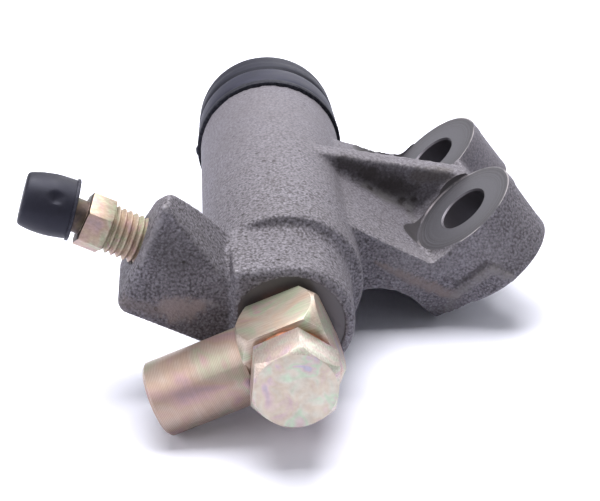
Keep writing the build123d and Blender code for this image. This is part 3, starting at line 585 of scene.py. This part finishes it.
# %% Casting blank with stock, wrapped and smoothed
def plane_off(shape, through, outward_way):
    """Cut away all that lies beyond a plane and close the cut with machined faces."""
    cut = bmesh.ops.bisect_plane(shape, geom=shape.verts[:] + shape.edges[:] + shape.faces[:], dist=1e-7,
                                 plane_co=through, plane_no=outward_way, clear_outer=True)
    rim = [e for e in cut["geom_cut"] if isinstance(e, bmesh.types.BMEdge)]
    flat = bmesh.ops.holes_fill(shape, edges=rim, sides=0)["faces"]
    for face in flat:
        face.material_index = 1
    bmesh.ops.recalc_face_normals(shape, faces=shape.faces[:])
    return len(flat)


def foot_stock(thick=1.6, stock=0.9, start=25.0):
    """Slice of the ears at the mounting face, moved outwards so that planing leaves a crisp rim."""
    slab = copy_of("cylinder_body")
    plane_off(slab, HOLES[0] + FACE_WAY * ((EAR_FOOT + thick) * MM), FACE_WAY)
    plane_off(slab, spot(*(EAR_WAY * start)), -EAR_WAY)
    bmesh.ops.translate(slab, verts=slab.verts[:], vec=FACE_WAY * (-stock * MM))
    return slab


BORE_PLUG = [(0, 0), (7.6, 0), (7.6, 20), (12.6, 20), (12.6, 90), (0, 90)]
BLEED_PLUG = [(0, 5), (6.0, 5), (6.0, 32.3), (0, 32.3)]
EAR_PLUG = [(0, EAR_FOOT), (6.5, EAR_FOOT), (6.5, EAR_TOP - 3), (12.3, EAR_TOP - 3), (12.3, EAR_TOP + 1),
            (0, EAR_TOP + 1)]
blank = join_shapes(copy_of("cylinder_body"), foot_stock(), turn(BORE_PLUG, spot(0, 0, 0), BORE_WAY),
                    turn(BLEED_PLUG, BLEED_FOOT, BLEED_WAY), *[turn(EAR_PLUG, hole, FACE_WAY) for hole in HOLES])
casting = show(blank, "casting", [iron, machined])
skin = casting.modifiers.new("skin", "REMESH")
skin.mode = "VOXEL"
skin.voxel_size = 0.55 * MM
rounding = casting.modifiers.new("rounding", "SMOOTH")
rounding.factor = 0.5
rounding.iterations = 4
apply_modifiers(casting)
print("wrapped skin faces", len(casting.data.polygons))

# %% [markdown]
# Before it is machined, the skin is shaped by hand in a few places. The ground parting line stands a little proud on
# the flange's face. The bleeder block's top is drawn up towards the barrel, the skirt round the union's seat comes
# forward, and the low corner of the foot is worn round.

# %% Ridge, block top, skirt and foot
RIDGE_HEIGHT, RIDGE_DEPTH = 0.38, 3.0
BLOCK_PUSH = Vector((-0.20, 0, 0.85))
SEAT_R = 11.2
SKIRT_LIFT, SKIRT_DEPTH = 0.3, 0.9
FOOT_LINE = spot(33.9, 0, -17.4)
FOOT_REACH, FOOT_PASSES = 3.2, 14


def ramp(value, start, length):
    """Share from 0 to 1 over a length."""
    return min(1.0, max(0.0, (value - start) / length))


def ridge_share(point):
    """How far a point lies up the parting ridge, seen along the bore."""
    best = 0.0
    for first, second, reach in zip(RIDGE, RIDGE[1:], RIDGE_R):
        run = second - first
        offset = point - first - run * ramp((point - first).dot(run), 0.0, run.length_squared)
        offset.y = 0
        best = max(best, 1 - (offset.length / (reach * MM)) ** 4)
    return best


shape = bmesh.new()
shape.from_mesh(casting.data)
shape.normal_update()
raised = 0
for vert in shape.verts:
    if vert.normal.y <= -0.5 and vert.co.y < RIDGE[0].y + RIDGE_DEPTH * MM:
        rise = ridge_share(vert.co)
        vert.co += vert.normal * (RIDGE_HEIGHT * MM * rise)
        raised += rise > 0
for vert in shape.verts:
    x, y, z = on_drawing(vert.co)
    if y < 30:
        vert.co += BLOCK_PUSH * (ramp(z, 14.0, 8.0) * ramp(-x, 13.0, 3.0) * MM)
for vert in shape.verts:
    x, y, z = on_drawing(vert.co)
    if math.hypot(x, z) > SEAT_R:
        vert.co.y -= SKIRT_LIFT * MM * (1 - ramp(y, 0.0, SKIRT_DEPTH))
foot = [v for v in shape.verts if math.hypot(v.co.x - FOOT_LINE.x, v.co.z - FOOT_LINE.z) < FOOT_REACH * MM]
for _ in range(FOOT_PASSES):
    bmesh.ops.smooth_vert(shape, verts=foot, factor=0.5, use_axis_x=True, use_axis_y=True, use_axis_z=True)
print("ridge vertices", raised, "foot vertices", len(foot))

# %% [markdown]
# Now the machining. The mounting face is planed flat by cutting the skin with a plane and closing the cut. The bore,
# the union's round seat, the bleed hole, the bolt holes and their spotfaces are cutters turned like the real tools,
# and one Boolean takes them all out. Their faces bring the machined finish with them.

# %% Machining the casting
planed = plane_off(shape, HOLES[0] + FACE_WAY * (EAR_FOOT * MM), -FACE_WAY)
bmesh.ops.triangulate(shape, faces=[f for f in shape.faces if len(f.verts) > 4])
shape.to_mesh(casting.data)
shape.free()
BORE_CUT = [(0, -3), (SEAT_R, -3), (SEAT_R, 0.12), (7.0, 0.12), (6.05, 0.9), (6.05, 13), (2.5, 14.5), (2.5, 18),
            (11.12, 18), (11.12, 86.35), (12.0, 86.35), (12.0, 87.65), (11.12, 87.65), (11.12, 89.2), (12.3, 90.4),
            (12.3, 93), (0, 93)]
BLEED_CUT = [(0, 8), (1.5, 8), (1.5, 13.7), (4.9, 16.8), (4.9, 31.9), (5.5, 32.5), (5.5, 36), (0, 36)]
EAR_CUT = [(0, EAR_FOOT - 3), (5.5, EAR_FOOT - 3), (5.5, EAR_TOP - 0.35), (5.85, EAR_TOP), (12.45, EAR_TOP), (12.6, -4),
           (0, -4)]
cutters = join_shapes(turn(BORE_CUT, spot(0, 0, 0), BORE_WAY), turn(BLEED_CUT, BLEED_FOOT, BLEED_WAY, 64),
                      *[turn(EAR_CUT, hole, FACE_WAY) for hole in HOLES])
tools = show(cutters, "cutters", [machined])
cut = casting.modifiers.new("machining", "BOOLEAN")
cut.object = tools
cut.operation = "DIFFERENCE"
cut.solver = "EXACT"
cut.material_mode = "TRANSFER"
apply_modifiers(casting)
casting.data.name = "casting"
bpy.data.objects.remove(tools)
smooth_shading(casting, 38)
shape = bmesh.new()
shape.from_mesh(casting.data)
for edge in shape.edges:
    if len({face.material_index for face in edge.link_faces}) > 1:
        edge.smooth = False
shape.to_mesh(casting.data)
shape.free()
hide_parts("cylinder_body")
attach(casting, "cylinder")
print("casting faces", len(casting.data.polygons), "planed", planed)

# %% [markdown]
# Yellow zinc plating is a thin clear film over bright zinc. Its colour drifts with the film's thickness, from straw
# to pink, green and violet. One soft noise makes that drift and a finer one gives stains. The bolt, the union, the
# bleed screw and the lock nut use this group, each with its own depth of colour.

# %% Plating tint group
tree, taken, given = new_group(
    "plating_tint", [("Patch size", 4.0), ("Strength", 1.0), ("Offset", 0.0)],
    [("Color", "NodeSocketColor"), ("Stain", "NodeSocketFloat")])
tint_group = tree
shifted = vectors(tree, "ADD", here(tree), taken.outputs["Offset"])
patches = sums(tree, "DIVIDE", 1000.0, taken.outputs["Patch size"])
drift = noise(tree, shifted, patches, Detail=2.0, Roughness=0.5, Distortion=0.6)
film = put(tree, "ValToRGB", {"Fac": spread(tree, drift, 0.28, 0.72)})
bands = [(0.0, (0.34, 0.24, 0.36)), (0.20, (0.52, 0.32, 0.36)), (0.38, (0.53, 0.40, 0.29)), (0.55, (0.55, 0.48, 0.40)),
         (0.72, (0.39, 0.53, 0.35)), (0.86, (0.55, 0.37, 0.40)), (1.0, (0.37, 0.32, 0.52))]
stops = film.color_ramp.elements
for stop, (position, colour) in zip(stops, (bands[0], bands[-1])):
    stop.position, stop.color = position, (*colour, 1)
for position, colour in bands[1:-1]:
    stops.new(position).color = (*colour, 1)
straw = tone(tree, taken.outputs["Strength"], (0.52, 0.44, 0.37), film.outputs["Color"])
stain = noise(tree, shifted, 900.0, Detail=4.0)
tree.links.new(straw, given.inputs["Color"])
tree.links.new(spread(tree, stain, 0.35, 0.70), given.inputs["Stain"])
print("group", tree.name)

# %% [markdown]
# Machining lines show through the plating. On the union's bar they run along it, and on the stub they run round it.
# The group gives lines that are long along one direction: the Object coordinates are squeezed along that direction
# before a fine noise reads them. A turned stub also has one even line per turn of the lathe, so Evenness blends in a
# sine wave with its own pitch.

# %% Tool lines group
tree, taken, given = new_group(
    "tool_lines", [("Lines per mm", 5.0), ("Stretch", 0.04), ("Pitch", 0.3), ("Evenness", 0.0), ("Along", None)],
    [("Lines", "NodeSocketFloat")])
line_group = tree
where, along = here(tree), taken.outputs["Along"]
amount = vectors(tree, "DOT_PRODUCT", where, along, "Value")
part_along = scaled(tree, along, amount)
rest = vectors(tree, "SUBTRACT", where, part_along)
squeezed = vectors(tree, "ADD", rest, scaled(tree, part_along, taken.outputs["Stretch"]))
lines = noise(tree, squeezed, times(tree, taken.outputs["Lines per mm"], 1000.0), Detail=3.0, Roughness=0.6)
turns = sums(tree, "DIVIDE", times(tree, amount, 1000.0 * math.tau), taken.outputs["Pitch"])
even = spread(tree, sums(tree, "SINE", turns), -1.0, 1.0, 0.3, 0.7)
blended = put(tree, "Mix", {0: taken.outputs["Evenness"], 2: lines, 3: even}, data_type="FLOAT")
tree.links.new(blended.outputs[0], given.inputs["Lines"])
print("group", tree.name)

# %% [markdown]
# One recipe makes each plated finish: the film's colour under a share of haze, browner in the tool lines and in fine
# stains, with a bump from the lines. Only the numbers differ between the bar, the stub, the bolt's sides and face,
# the bleed screw and its neck, whose near-black haze is painted shade. A paler one is for the narrow faces along
# rubbed edges.

# %% Plated finishes
def plated(name, along, lines, stretch, strength, patch, offset, depth, dull=0.30, haze=(0.78, 0.70, 0.70),
           haze_share=0.0, evenness=0.0, line_share=0.42):
    """Yellow zinc over tool lines that run one way, under a share of pale haze."""
    finish, tree, shader = new_finish(name, Metallic=0.80)
    film = use_group(tree, tint_group, Patch_size=patch, Strength=strength, Offset=offset)
    marks = use_group(tree, line_group, Lines_per_mm=lines, Stretch=stretch, Pitch=0.32, Evenness=evenness, Along=along)
    marks = marks.outputs["Lines"]
    colour = tone(tree, haze_share, film.outputs["Color"], haze)
    colour = tone(tree, spread(tree, marks, 0.62, 0.36, 0.0, line_share), colour, (0.27, 0.19, 0.17))
    colour = tone(tree, times(tree, film.outputs["Stain"], 0.16), colour, (0.33, 0.23, 0.17))
    surface(tree, shader, colour, spread(tree, marks, 0.3, 0.7, dull + 0.16, dull), marks, 0.5, depth)
    return finish


bar_finish = plated("plated_bar", STUB_WAY, lines=3.0, stretch=0.06, strength=0.75, patch=9.0, offset=0.31, depth=0.06)
stub_finish = plated("plated_stub", STUB_WAY, lines=0.022, stretch=160.0, strength=0.80, patch=8.0, offset=0.12,
                     depth=0.06, dull=0.36, haze=(0.33, 0.23, 0.20), haze_share=0.46, evenness=0.65, line_share=0.60)
bolt_side = plated("plated_bolt_side", BORE_WAY, lines=3.0, stretch=0.3, strength=0.9, patch=5.0, offset=0.57,
                   depth=0.04, haze=(0.74, 0.68, 0.68), haze_share=0.35)
bolt_face = plated("plated_bolt_face", BORE_WAY, lines=0.5, stretch=1.0, strength=1.0, patch=5.0, offset=0.42,
                   depth=0.01, dull=0.42, haze=(0.61, 0.66, 0.60), haze_share=0.34, line_share=0.15)
bleeder_finish = plated("plated_bleeder", BLEED_WAY, lines=2.0, stretch=0.5, strength=0.9, patch=5.0, offset=0.91,
                        depth=0.03, dull=0.48, haze=(0.36, 0.30, 0.22), haze_share=0.50)
# Near-black haze: painted shade for the neck under the cap and the hexagon's face towards it.
bleeder_painted_shade = plated("plated_bleeder_neck", BLEED_WAY, lines=2.0, stretch=0.5, strength=0.9, patch=5.0, offset=0.91,
                      depth=0.03, dull=0.45, haze=(0.030, 0.028, 0.016), haze_share=0.90, line_share=0.12)
rubbed_edge = plated("plated_rubbed_edge", BORE_WAY, lines=2.0, stretch=0.6, strength=0.3, patch=5.0, offset=0.22,
                     depth=0.03, dull=0.24, haze=(0.95, 0.93, 0.90), haze_share=0.75)
print("plated finishes", [m.name for m in bpy.data.materials if m.name.startswith("plated")])

# %% [markdown]
# The union bolt and the union have the right shape already, but their corners are too sharp for real bar stock. A
# copy of each solid is merged, its flat faces are dissolved into single faces, and the sharp edges get a narrow
# bevel. The faces then take their finish by where they lie, and the bevels get the paler, rubbed one.

# %% Union bolt
HEAD_FACE = spot(0, -23.8, 0)
FACE_BAND = 0.25


def eased(node, size, angle_deg=25.0):
    """Copy of a solid with flat faces joined and sharp edges rounded, and its new narrow faces."""
    shape = copy_of(node)
    bmesh.ops.dissolve_limit(shape, angle_limit=math.radians(2.0), verts=shape.verts[:], edges=shape.edges[:],
                             use_dissolve_boundaries=False)
    rims = soften(shape, size, angle_deg, 2)
    bmesh.ops.recalc_face_normals(shape, faces=shape.faces[:])
    return shape, rims


bolt, rims = eased("union_bolt", 0.16)
for face in bolt.faces:
    level = (face.calc_center_median() - HEAD_FACE).dot(BORE_WAY) / MM
    face.material_index = 1 if level < FACE_BAND else 0
for face in rims:
    face.material_index = 2
bolt_piece = show(bolt, "union_bolt_dressed", [bolt_side, bolt_face, rubbed_edge])
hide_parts("union_bolt")
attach(bolt_piece, "cylinder")

# %% [markdown]
# The union is a square bar, turned down at both ends, with a round stub for the pipe. Bar and stub carry lines that
# run different ways, so the faces beyond the shoulder take the stub's finish. The socket in the stub's end stays as
# the CAD cut it.

# %% Pipe union
SHOULDER = 8.3
union, rims = eased("pipe_union", 0.18)
for face in union.faces:
    beyond = (face.calc_center_median() - STUB_FOOT).dot(STUB_WAY) / MM
    face.material_index = 1 if beyond > SHOULDER else 0
for face in rims:
    face.material_index = 2
union_piece = show(union, "pipe_union_dressed", [bar_finish, stub_finish, rubbed_edge])
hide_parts("pipe_union")
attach(union_piece, "cylinder")

# %% [markdown]
# The bleed screw is the one thread that shows. A thread is a helix: one tooth's outline is spun round the axis while
# it climbs, so each turn ends where the next begins. Its ends are cut square with planes and closed.

# %% Thread of the bleed screw
PITCH = 1.25
CREST_R, ROOT_R = 4.82, 4.15
THREAD_START, THREAD_END, TURNS = 28.5, 39.6, 11


def helix(foot, way, start, turns, steps=48):
    """Climbing tooth outline, each turn joined to the next."""
    arm = Vector(way).orthogonal().normalized()
    tooth = [(ROOT_R, 0.0), (CREST_R, 0.42 * PITCH), (CREST_R, 0.58 * PITCH), (ROOT_R, PITCH)]
    shape = bmesh.new()
    points = [shape.verts.new(foot + arm * (r * MM) + way * ((start + h) * MM)) for r, h in tooth]
    for first, second in zip(points, points[1:]):
        shape.edges.new((first, second))
    bmesh.ops.spin(shape, geom=shape.verts[:] + shape.edges[:], cent=foot, axis=way, angle=math.tau * turns,
                   dvec=way * (PITCH * MM / steps), steps=steps * turns, use_merge=False)
    bmesh.ops.remove_doubles(shape, verts=shape.verts[:], dist=1e-6)
    return shape


thread = helix(BLEED_FOOT, BLEED_WAY, THREAD_START - PITCH, TURNS)
for level, sense in ((THREAD_START, -1), (THREAD_END, 1)):
    bmesh.ops.bisect_plane(thread, geom=thread.verts[:] + thread.edges[:] + thread.faces[:], dist=1e-7,
                           plane_co=BLEED_FOOT + BLEED_WAY * (level * MM), plane_no=BLEED_WAY * sense,
                           clear_outer=True)
bmesh.ops.holes_fill(thread, edges=[e for e in thread.edges if e.is_boundary], sides=0)
bmesh.ops.recalc_face_normals(thread, faces=thread.faces[:])
print("thread faces", len(thread.faces), "open edges", len([e for e in thread.edges if e.is_boundary]))

# %% [markdown]
# The rest of the screw is a conical tip, a hexagon and a nipple with one barb. The turned parts are spun, and the
# hexagon is a six-sided disc whose corners are chamfered by the same turning cut that a real one gets. The neck
# under the cap and the hexagon's end face towards it are near-black: painted shade, where the cap keeps the light
# off.

# %% Bleed screw body and hexagon
NECK_START = 44.2
CORNER_CUTS = 11


def hexagon(across_flats, low, high, foot, way, turned_deg, face_r, drop):
    """Hexagon between two heights, both corner rims turned off at a slant."""
    corner = across_flats / math.sqrt(3)
    shape = bmesh.new()
    bmesh.ops.create_cone(shape, cap_ends=True, cap_tris=False, segments=6, radius1=corner * MM, radius2=corner * MM,
                          depth=(high - low) * MM)
    turned = Matrix.Rotation(math.radians(turned_deg), 3, "Z")
    bmesh.ops.rotate(shape, verts=shape.verts[:], cent=(0, 0, 0), matrix=turned)
    rims = [e for e in shape.edges if abs(e.verts[0].co.z - e.verts[1].co.z) < 1e-9]
    bmesh.ops.subdivide_edges(shape, edges=rims, cuts=CORNER_CUTS, use_grid_fill=False)
    half = (high - low) / 2
    for vert in shape.verts:
        out = math.hypot(vert.co.x, vert.co.y) / MM
        if out > face_r:
            vert.co.z -= math.copysign((out - face_r) * drop * MM, vert.co.z)
    for sense in (-1, 1):
        cap = [f for f in shape.faces if f.normal.z * sense > 0.9 and len(f.verts) > 12]
        bmesh.ops.poke(shape, faces=cap, offset=0)
    upright = Matrix((BORE_WAY, way.cross(BORE_WAY), way)).transposed()
    bmesh.ops.rotate(shape, verts=shape.verts[:], cent=(0, 0, 0), matrix=upright)
    bmesh.ops.translate(shape, verts=shape.verts[:], vec=foot + way * ((low + half) * MM))
    bmesh.ops.recalc_face_normals(shape, faces=shape.faces[:])
    return shape


SCREW = [(0, 14.0), (1.6, 14.0), (4.2, 16.7), (4.2, 39.0), (4.2, 39.9), (3.4, 39.9), (3.4, 44.35), (3.4, 46.7),
         (3.7, 47.0), (3.88, 47.5), (3.88, 48.4), (2.95, 52.6), (2.7, 52.9), (1.3, 53.0), (1.1, 52.7), (1.1, 20.0),
         (0, 20.0)]
body = turn(SCREW, BLEED_FOOT, BLEED_WAY, 64)
soften(body, 0.12, 30, 2)
hexed = hexagon(10.0, 39.3, 44.3, BLEED_FOOT, BLEED_WAY, 9, 5.45, 0.45)
soften(hexed, 0.10, 20, 2)
# Faces past the neck's start, and the hexagon's faces towards the cap, take the painted shade finish.
for face in body.faces:
    face.material_index = 1 if (face.calc_center_median() - BLEED_FOOT).dot(BLEED_WAY) > NECK_START * MM else 0
for face in hexed.faces:
    face.material_index = 1 if face.normal.dot(BLEED_WAY) > 0.7 else 0
screw_piece = show(join_shapes(body, thread, hexed), "bleed_screw_dressed", [bleeder_finish, bleeder_painted_shade])
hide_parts("bleed_screw")
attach(screw_piece, "bleed_screw")

# %% [markdown]
# Moulded rubber is nearly black with a blue cast, dusty in a fine way, and it scatters light softly. A faint mottling
# in the colour and a very low bump keep it from looking like plastic. One recipe serves the cap, the boot and the
# seals. The boot has three of them: its grooves and lip get a near-black one that is painted shade, and its far end
# is darker.

# %% Rubber
def rubber_finish(name, deep, dusty, roughness):
    """Matte rubber with a fine bloom of dust."""
    finish, tree, shader = new_finish(name)
    shader.inputs["Specular IOR Level"].default_value = 0.32
    shader.inputs["Specular Tint"].default_value = (0.80, 0.82, 1.0, 1)
    where = here(tree)
    bloom = noise(tree, where, 350.0, Detail=6.0, Roughness=0.65)
    skin = noise(tree, where, 2600.0, Detail=3.0)
    wear = use_group(tree, wear_group, Start=0.52, Full=0.60, Break_up=0.4)
    colour = tone(tree, spread(tree, bloom, 0.35, 0.75), deep, dusty)
    colour = tone(tree, times(tree, wear.outputs["Mask"], 0.5), colour, (0.10, 0.10, 0.12))
    surface(tree, shader, colour, spread(tree, bloom, 0.3, 0.7, roughness, roughness + 0.14), skin, 0.35, 0.06)
    return finish


cap_rubber = rubber_finish("cap_rubber", (0.0055, 0.0052, 0.0095), (0.0125, 0.012, 0.020), 0.46)
boot_rubber = rubber_finish("boot_rubber", (0.012, 0.012, 0.021), (0.026, 0.026, 0.042), 0.50)
boot_shade = rubber_finish("boot_shade", (0.003, 0.003, 0.005), (0.006, 0.006, 0.010), 0.60)
boot_end = rubber_finish("boot_end", (0.007, 0.007, 0.012), (0.015, 0.015, 0.024), 0.55)
print("rubber finishes", [m.name for m in (cap_rubber, boot_rubber, boot_shade, boot_end)])

# %% [markdown]
# The cap is barrel-shaped, with a thin lip at its mouth and a small round dimple in its side where the mould was
# gated. It leans a little on the nipple, as a loosely pushed-on cap does. It is turned about its own leaning axis,
# and the dimple is pressed in by moving the vertices near one point.

# %% Bleed cap
CAP_TILT = 9.5
CAP_HALF = 5.2
CAP_MIDDLE = BLEED_FOOT + BLEED_WAY * ((46.4 + CAP_HALF) * MM)
CAP_WAY = leaning(153.5 + CAP_TILT)
DIMPLE = spot(-44.04, 6.48, 26.53)
DIMPLE_R, DIMPLE_DEPTH = 1.3, 0.65
LONGEST_EDGE = 0.0009
CAP = [(4.12, -5.2), (5.95, -5.2), (6.18, -5.05), (6.2, -4.75), (6.15, -4.55), (5.86, -4.5), (5.98, -3.2), (6.1, -1.6),
       (6.12, -0.4), (6.04, 0.8), (5.88, 2.2), (5.64, 3.4), (5.44, 4.2), (5.32, 4.6), (5.12, 4.95), (4.8, 5.14),
       (4.3, 5.2), (0, 5.2), (0, 1.6), (3.9, 1.6), (4.12, 1.2)]
cap = turn(CAP, CAP_MIDDLE, CAP_WAY, 96, closed=True)
long_edges = [e for e in cap.edges if e.calc_length() > LONGEST_EDGE]
bmesh.ops.subdivide_edges(cap, edges=long_edges, cuts=1, use_grid_fill=True)
for vert in cap.verts:
    near = (vert.co - DIMPLE).length / MM
    if near < DIMPLE_R:
        inward = CAP_MIDDLE - vert.co
        inward -= CAP_WAY * inward.dot(CAP_WAY)
        press = DIMPLE_DEPTH * (1 - (near / DIMPLE_R) ** 4)
        vert.co += inward.normalized() * (press * MM)
bmesh.ops.recalc_face_normals(cap, faces=cap.faces[:])
cap_piece = show(cap, "bleed_cap_dressed", [cap_rubber], 40)
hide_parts("bleed_cap")
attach(cap_piece, "bleed_cap")

# %% [markdown]
# The dust boot is a wide bell whose lip snaps over the casting's end, then a rolled fold and a narrow neck on the
# pushrod. Its wall has two grooves, faint rings where the mould let it stretch, and one small lug at its side. When
# the piston moves in, the real boot folds up.

# %% Dust boot
BELL = [(16.8, 84.5), (17.1, 84.55), (17.2, 84.8), (17.2, 86.0), (17.05, 86.35), (16.72, 86.7), (16.62, 87.2),
        (16.78, 87.7), (16.92, 88.4), (16.95, 90.0), (16.90, 92.0), (16.84, 93.4), (16.60, 94.2), (16.15, 94.7),
        (16.15, 95.3), (16.60, 96.0), (16.68, 97.4), (16.62, 98.8), (16.38, 99.6), (16.46, 100.6), (16.42, 101.2),
        (16.36, 102.2), (16.2, 103.1), (15.8, 104.1), (15.2, 105.1), (14.4, 105.8), (13.6, 106.1)]
FOLD = [(12.6, 106.1), (11.6, 105.8), (10.4, 104.9), (9.3, 103.7), (8.2, 102.9), (7.2, 102.55), (6.5, 102.6),
        (5.95, 103.1), (5.65, 104.0), (5.6, 107.2), (5.4, 107.6)]
UNDER = [(4.08, 107.6), (4.06, 102.4), (4.4, 101.5), (5.4, 101.0), (7.2, 101.0), (8.8, 101.5), (10.2, 102.7),
         (11.4, 103.9), (12.6, 104.5), (13.4, 104.5), (14.1, 104.0), (14.7, 103.0), (14.95, 101.5), (15.1, 97.0),
         (15.35, 92.0), (15.3, 90.1), (15.26, 90.0), (15.26, 88.15), (14.27, 88.15), (14.27, 86.27), (15.26, 86.27),
         (15.26, 84.75)]
LIP_END, GROOVE_START, GROOVE_END = 87.4, 94.3, 95.9
LUG = spot(-17.3, 85.4, -0.3)
LUG_REACH, LUG_HEIGHT, LUG_FROM_R = 1.0, 0.75, 16.6
boot = turn(BELL + FOLD + UNDER, spot(0, 0, 0), BORE_WAY, 144, closed=True)
for vert in boot.verts:
    x, y, z = on_drawing(vert.co)
    near = (vert.co - LUG).length / MM
    if near < LUG_REACH and math.hypot(x, z) > LUG_FROM_R:
        vert.co.x -= LUG_HEIGHT * MM * (1 - near ** 2)
for face in boot.faces:
    level = on_drawing(face.calc_center_median()).y
    # Lip and groove faces take boot_shade, which is painted shade.
    in_shade = level < LIP_END or GROOVE_START < level < GROOVE_END
    face.material_index = 1 if in_shade else 2 if level > GROOVE_END else 0
boot_piece = show(boot, "dust_boot_dressed", [boot_rubber, boot_shade, boot_end], 50)
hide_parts("dust_boot")
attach(boot_piece, "cylinder")
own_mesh(boot_piece)

# %% [markdown]
# The return spring sits inside the bore between its floor and the seat on the piston. The CAD coil is the right
# shape, so its copy is used.

# %% Steel finishes and return spring
def steel_finish(name, colour, roughness, along, lines, stretch):
    """Bare steel or alloy with fine turning lines and a little dull oil."""
    finish, tree, shader = new_finish(name, Metallic=0.9)
    marks = use_group(tree, line_group, Lines_per_mm=lines, Stretch=stretch, Along=along).outputs["Lines"]
    grain = use_group(tree, grain_group, Grain_size=2.5, Pit_share=0.1)
    wear = use_group(tree, wear_group, Start=0.52, Full=0.60, Break_up=0.2)
    lined = tone(tree, spread(tree, marks, 0.35, 0.65), [c * 0.72 for c in colour], colour)
    oiled = tone(tree, times(tree, grain.outputs["Grain"], 0.25), [c * 0.6 for c in colour], lined)
    bright = tone(tree, times(tree, wear.outputs["Mask"], 0.6), oiled, (0.8, 0.8, 0.8))
    surface(tree, shader, bright, spread(tree, marks, 0.3, 0.7, roughness + 0.12, roughness), marks, 0.4, 0.04)
    return finish


turned_steel = steel_finish("turned_steel", (0.42, 0.42, 0.43), 0.34, BORE_WAY, 0.05, 80.0)
alloy = steel_finish("turned_alloy", (0.62, 0.62, 0.60), 0.30, BORE_WAY, 0.05, 80.0)
spring_wire = steel_finish("spring_wire", (0.20, 0.19, 0.18), 0.38, BORE_WAY, 3.0, 1.0)
spring = show(copy_of("return_spring"), "return_spring_dressed", [spring_wire], 60)
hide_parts("return_spring")
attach(spring, "cylinder")
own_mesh(spring)

# %% [markdown]
# Two copper rings seal the union, one under the bolt's head and one on the casting. Soft copper goes brown where it
# is handled and stays orange where it is squeezed. Here the casting's grain group, in a coarse size, mixes the brown
# and the orange, and the line group roughens the ring a little.

# %% Copper rings
copper, tree, shader = new_finish("sealing_copper", Metallic=0.85)
marks = use_group(tree, line_group, Lines_per_mm=2.0, Stretch=1.0, Along=BORE_WAY).outputs["Lines"]
grain = use_group(tree, grain_group, Grain_size=1.6, Pit_share=0.15)
wear = use_group(tree, wear_group, Start=0.52, Full=0.60, Break_up=0.3)
browned = tone(tree, grain.outputs["Grain"], (0.24, 0.085, 0.045), (0.60, 0.25, 0.14))
bright = tone(tree, wear.outputs["Mask"], browned, (0.80, 0.42, 0.28))
surface(tree, shader, bright, spread(tree, marks, 0.3, 0.7, 0.46, 0.30), marks, 0.4, 0.05)
for node in ("head_gasket", "body_gasket"):
    ring = eased(node, 0.2)[0]
    ring_piece = show(ring, node + "_dressed", [copper])
    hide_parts(node)
    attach(ring_piece, "cylinder")

# %% [markdown]
# The inner pieces keep their CAD solids, because their shapes are right and they are only seen when the model is
# taken apart. Each slot is filled on the object, so the solid's own mesh stays as it was packed.

# %% Finishes for the inner solids
seal_rubber = rubber_finish("seal_rubber", (0.010, 0.010, 0.011), (0.022, 0.022, 0.023), 0.38)
rod_zinc = plated("plated_rod", BORE_WAY, lines=0.05, stretch=80.0, strength=0.5, patch=6.0, offset=0.44, depth=0.04)
inner = {
    "piston": alloy,
    "primary_cup": seal_rubber,
    "secondary_cup": seal_rubber,
    "spring_seat": turned_steel,
    "retaining_ring": spring_wire,
    "pushrod": turned_steel,
    "lock_nut": rod_zinc,
    "rod_end": turned_steel,
}
for node, finish in inner.items():
    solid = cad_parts[node]
    for holder in solid.material_slots:
        holder.link = "OBJECT"
        holder.material = finish
print("inner solids dressed:", len(inner))

# %% Check the size
dressed_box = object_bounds()


def plain(box):
    """Box as plain lists of numbers."""
    return [[float(v) for v in corner] for corner in box]


cad_low, cad_high = plain(cad_box)
low, high = plain(dressed_box)
growth = [max(cad_low[i] - low[i], high[i] - cad_high[i]) * 1000 for i in range(3)]
print("grown by millimetres:", [round(g, 2) for g in growth])
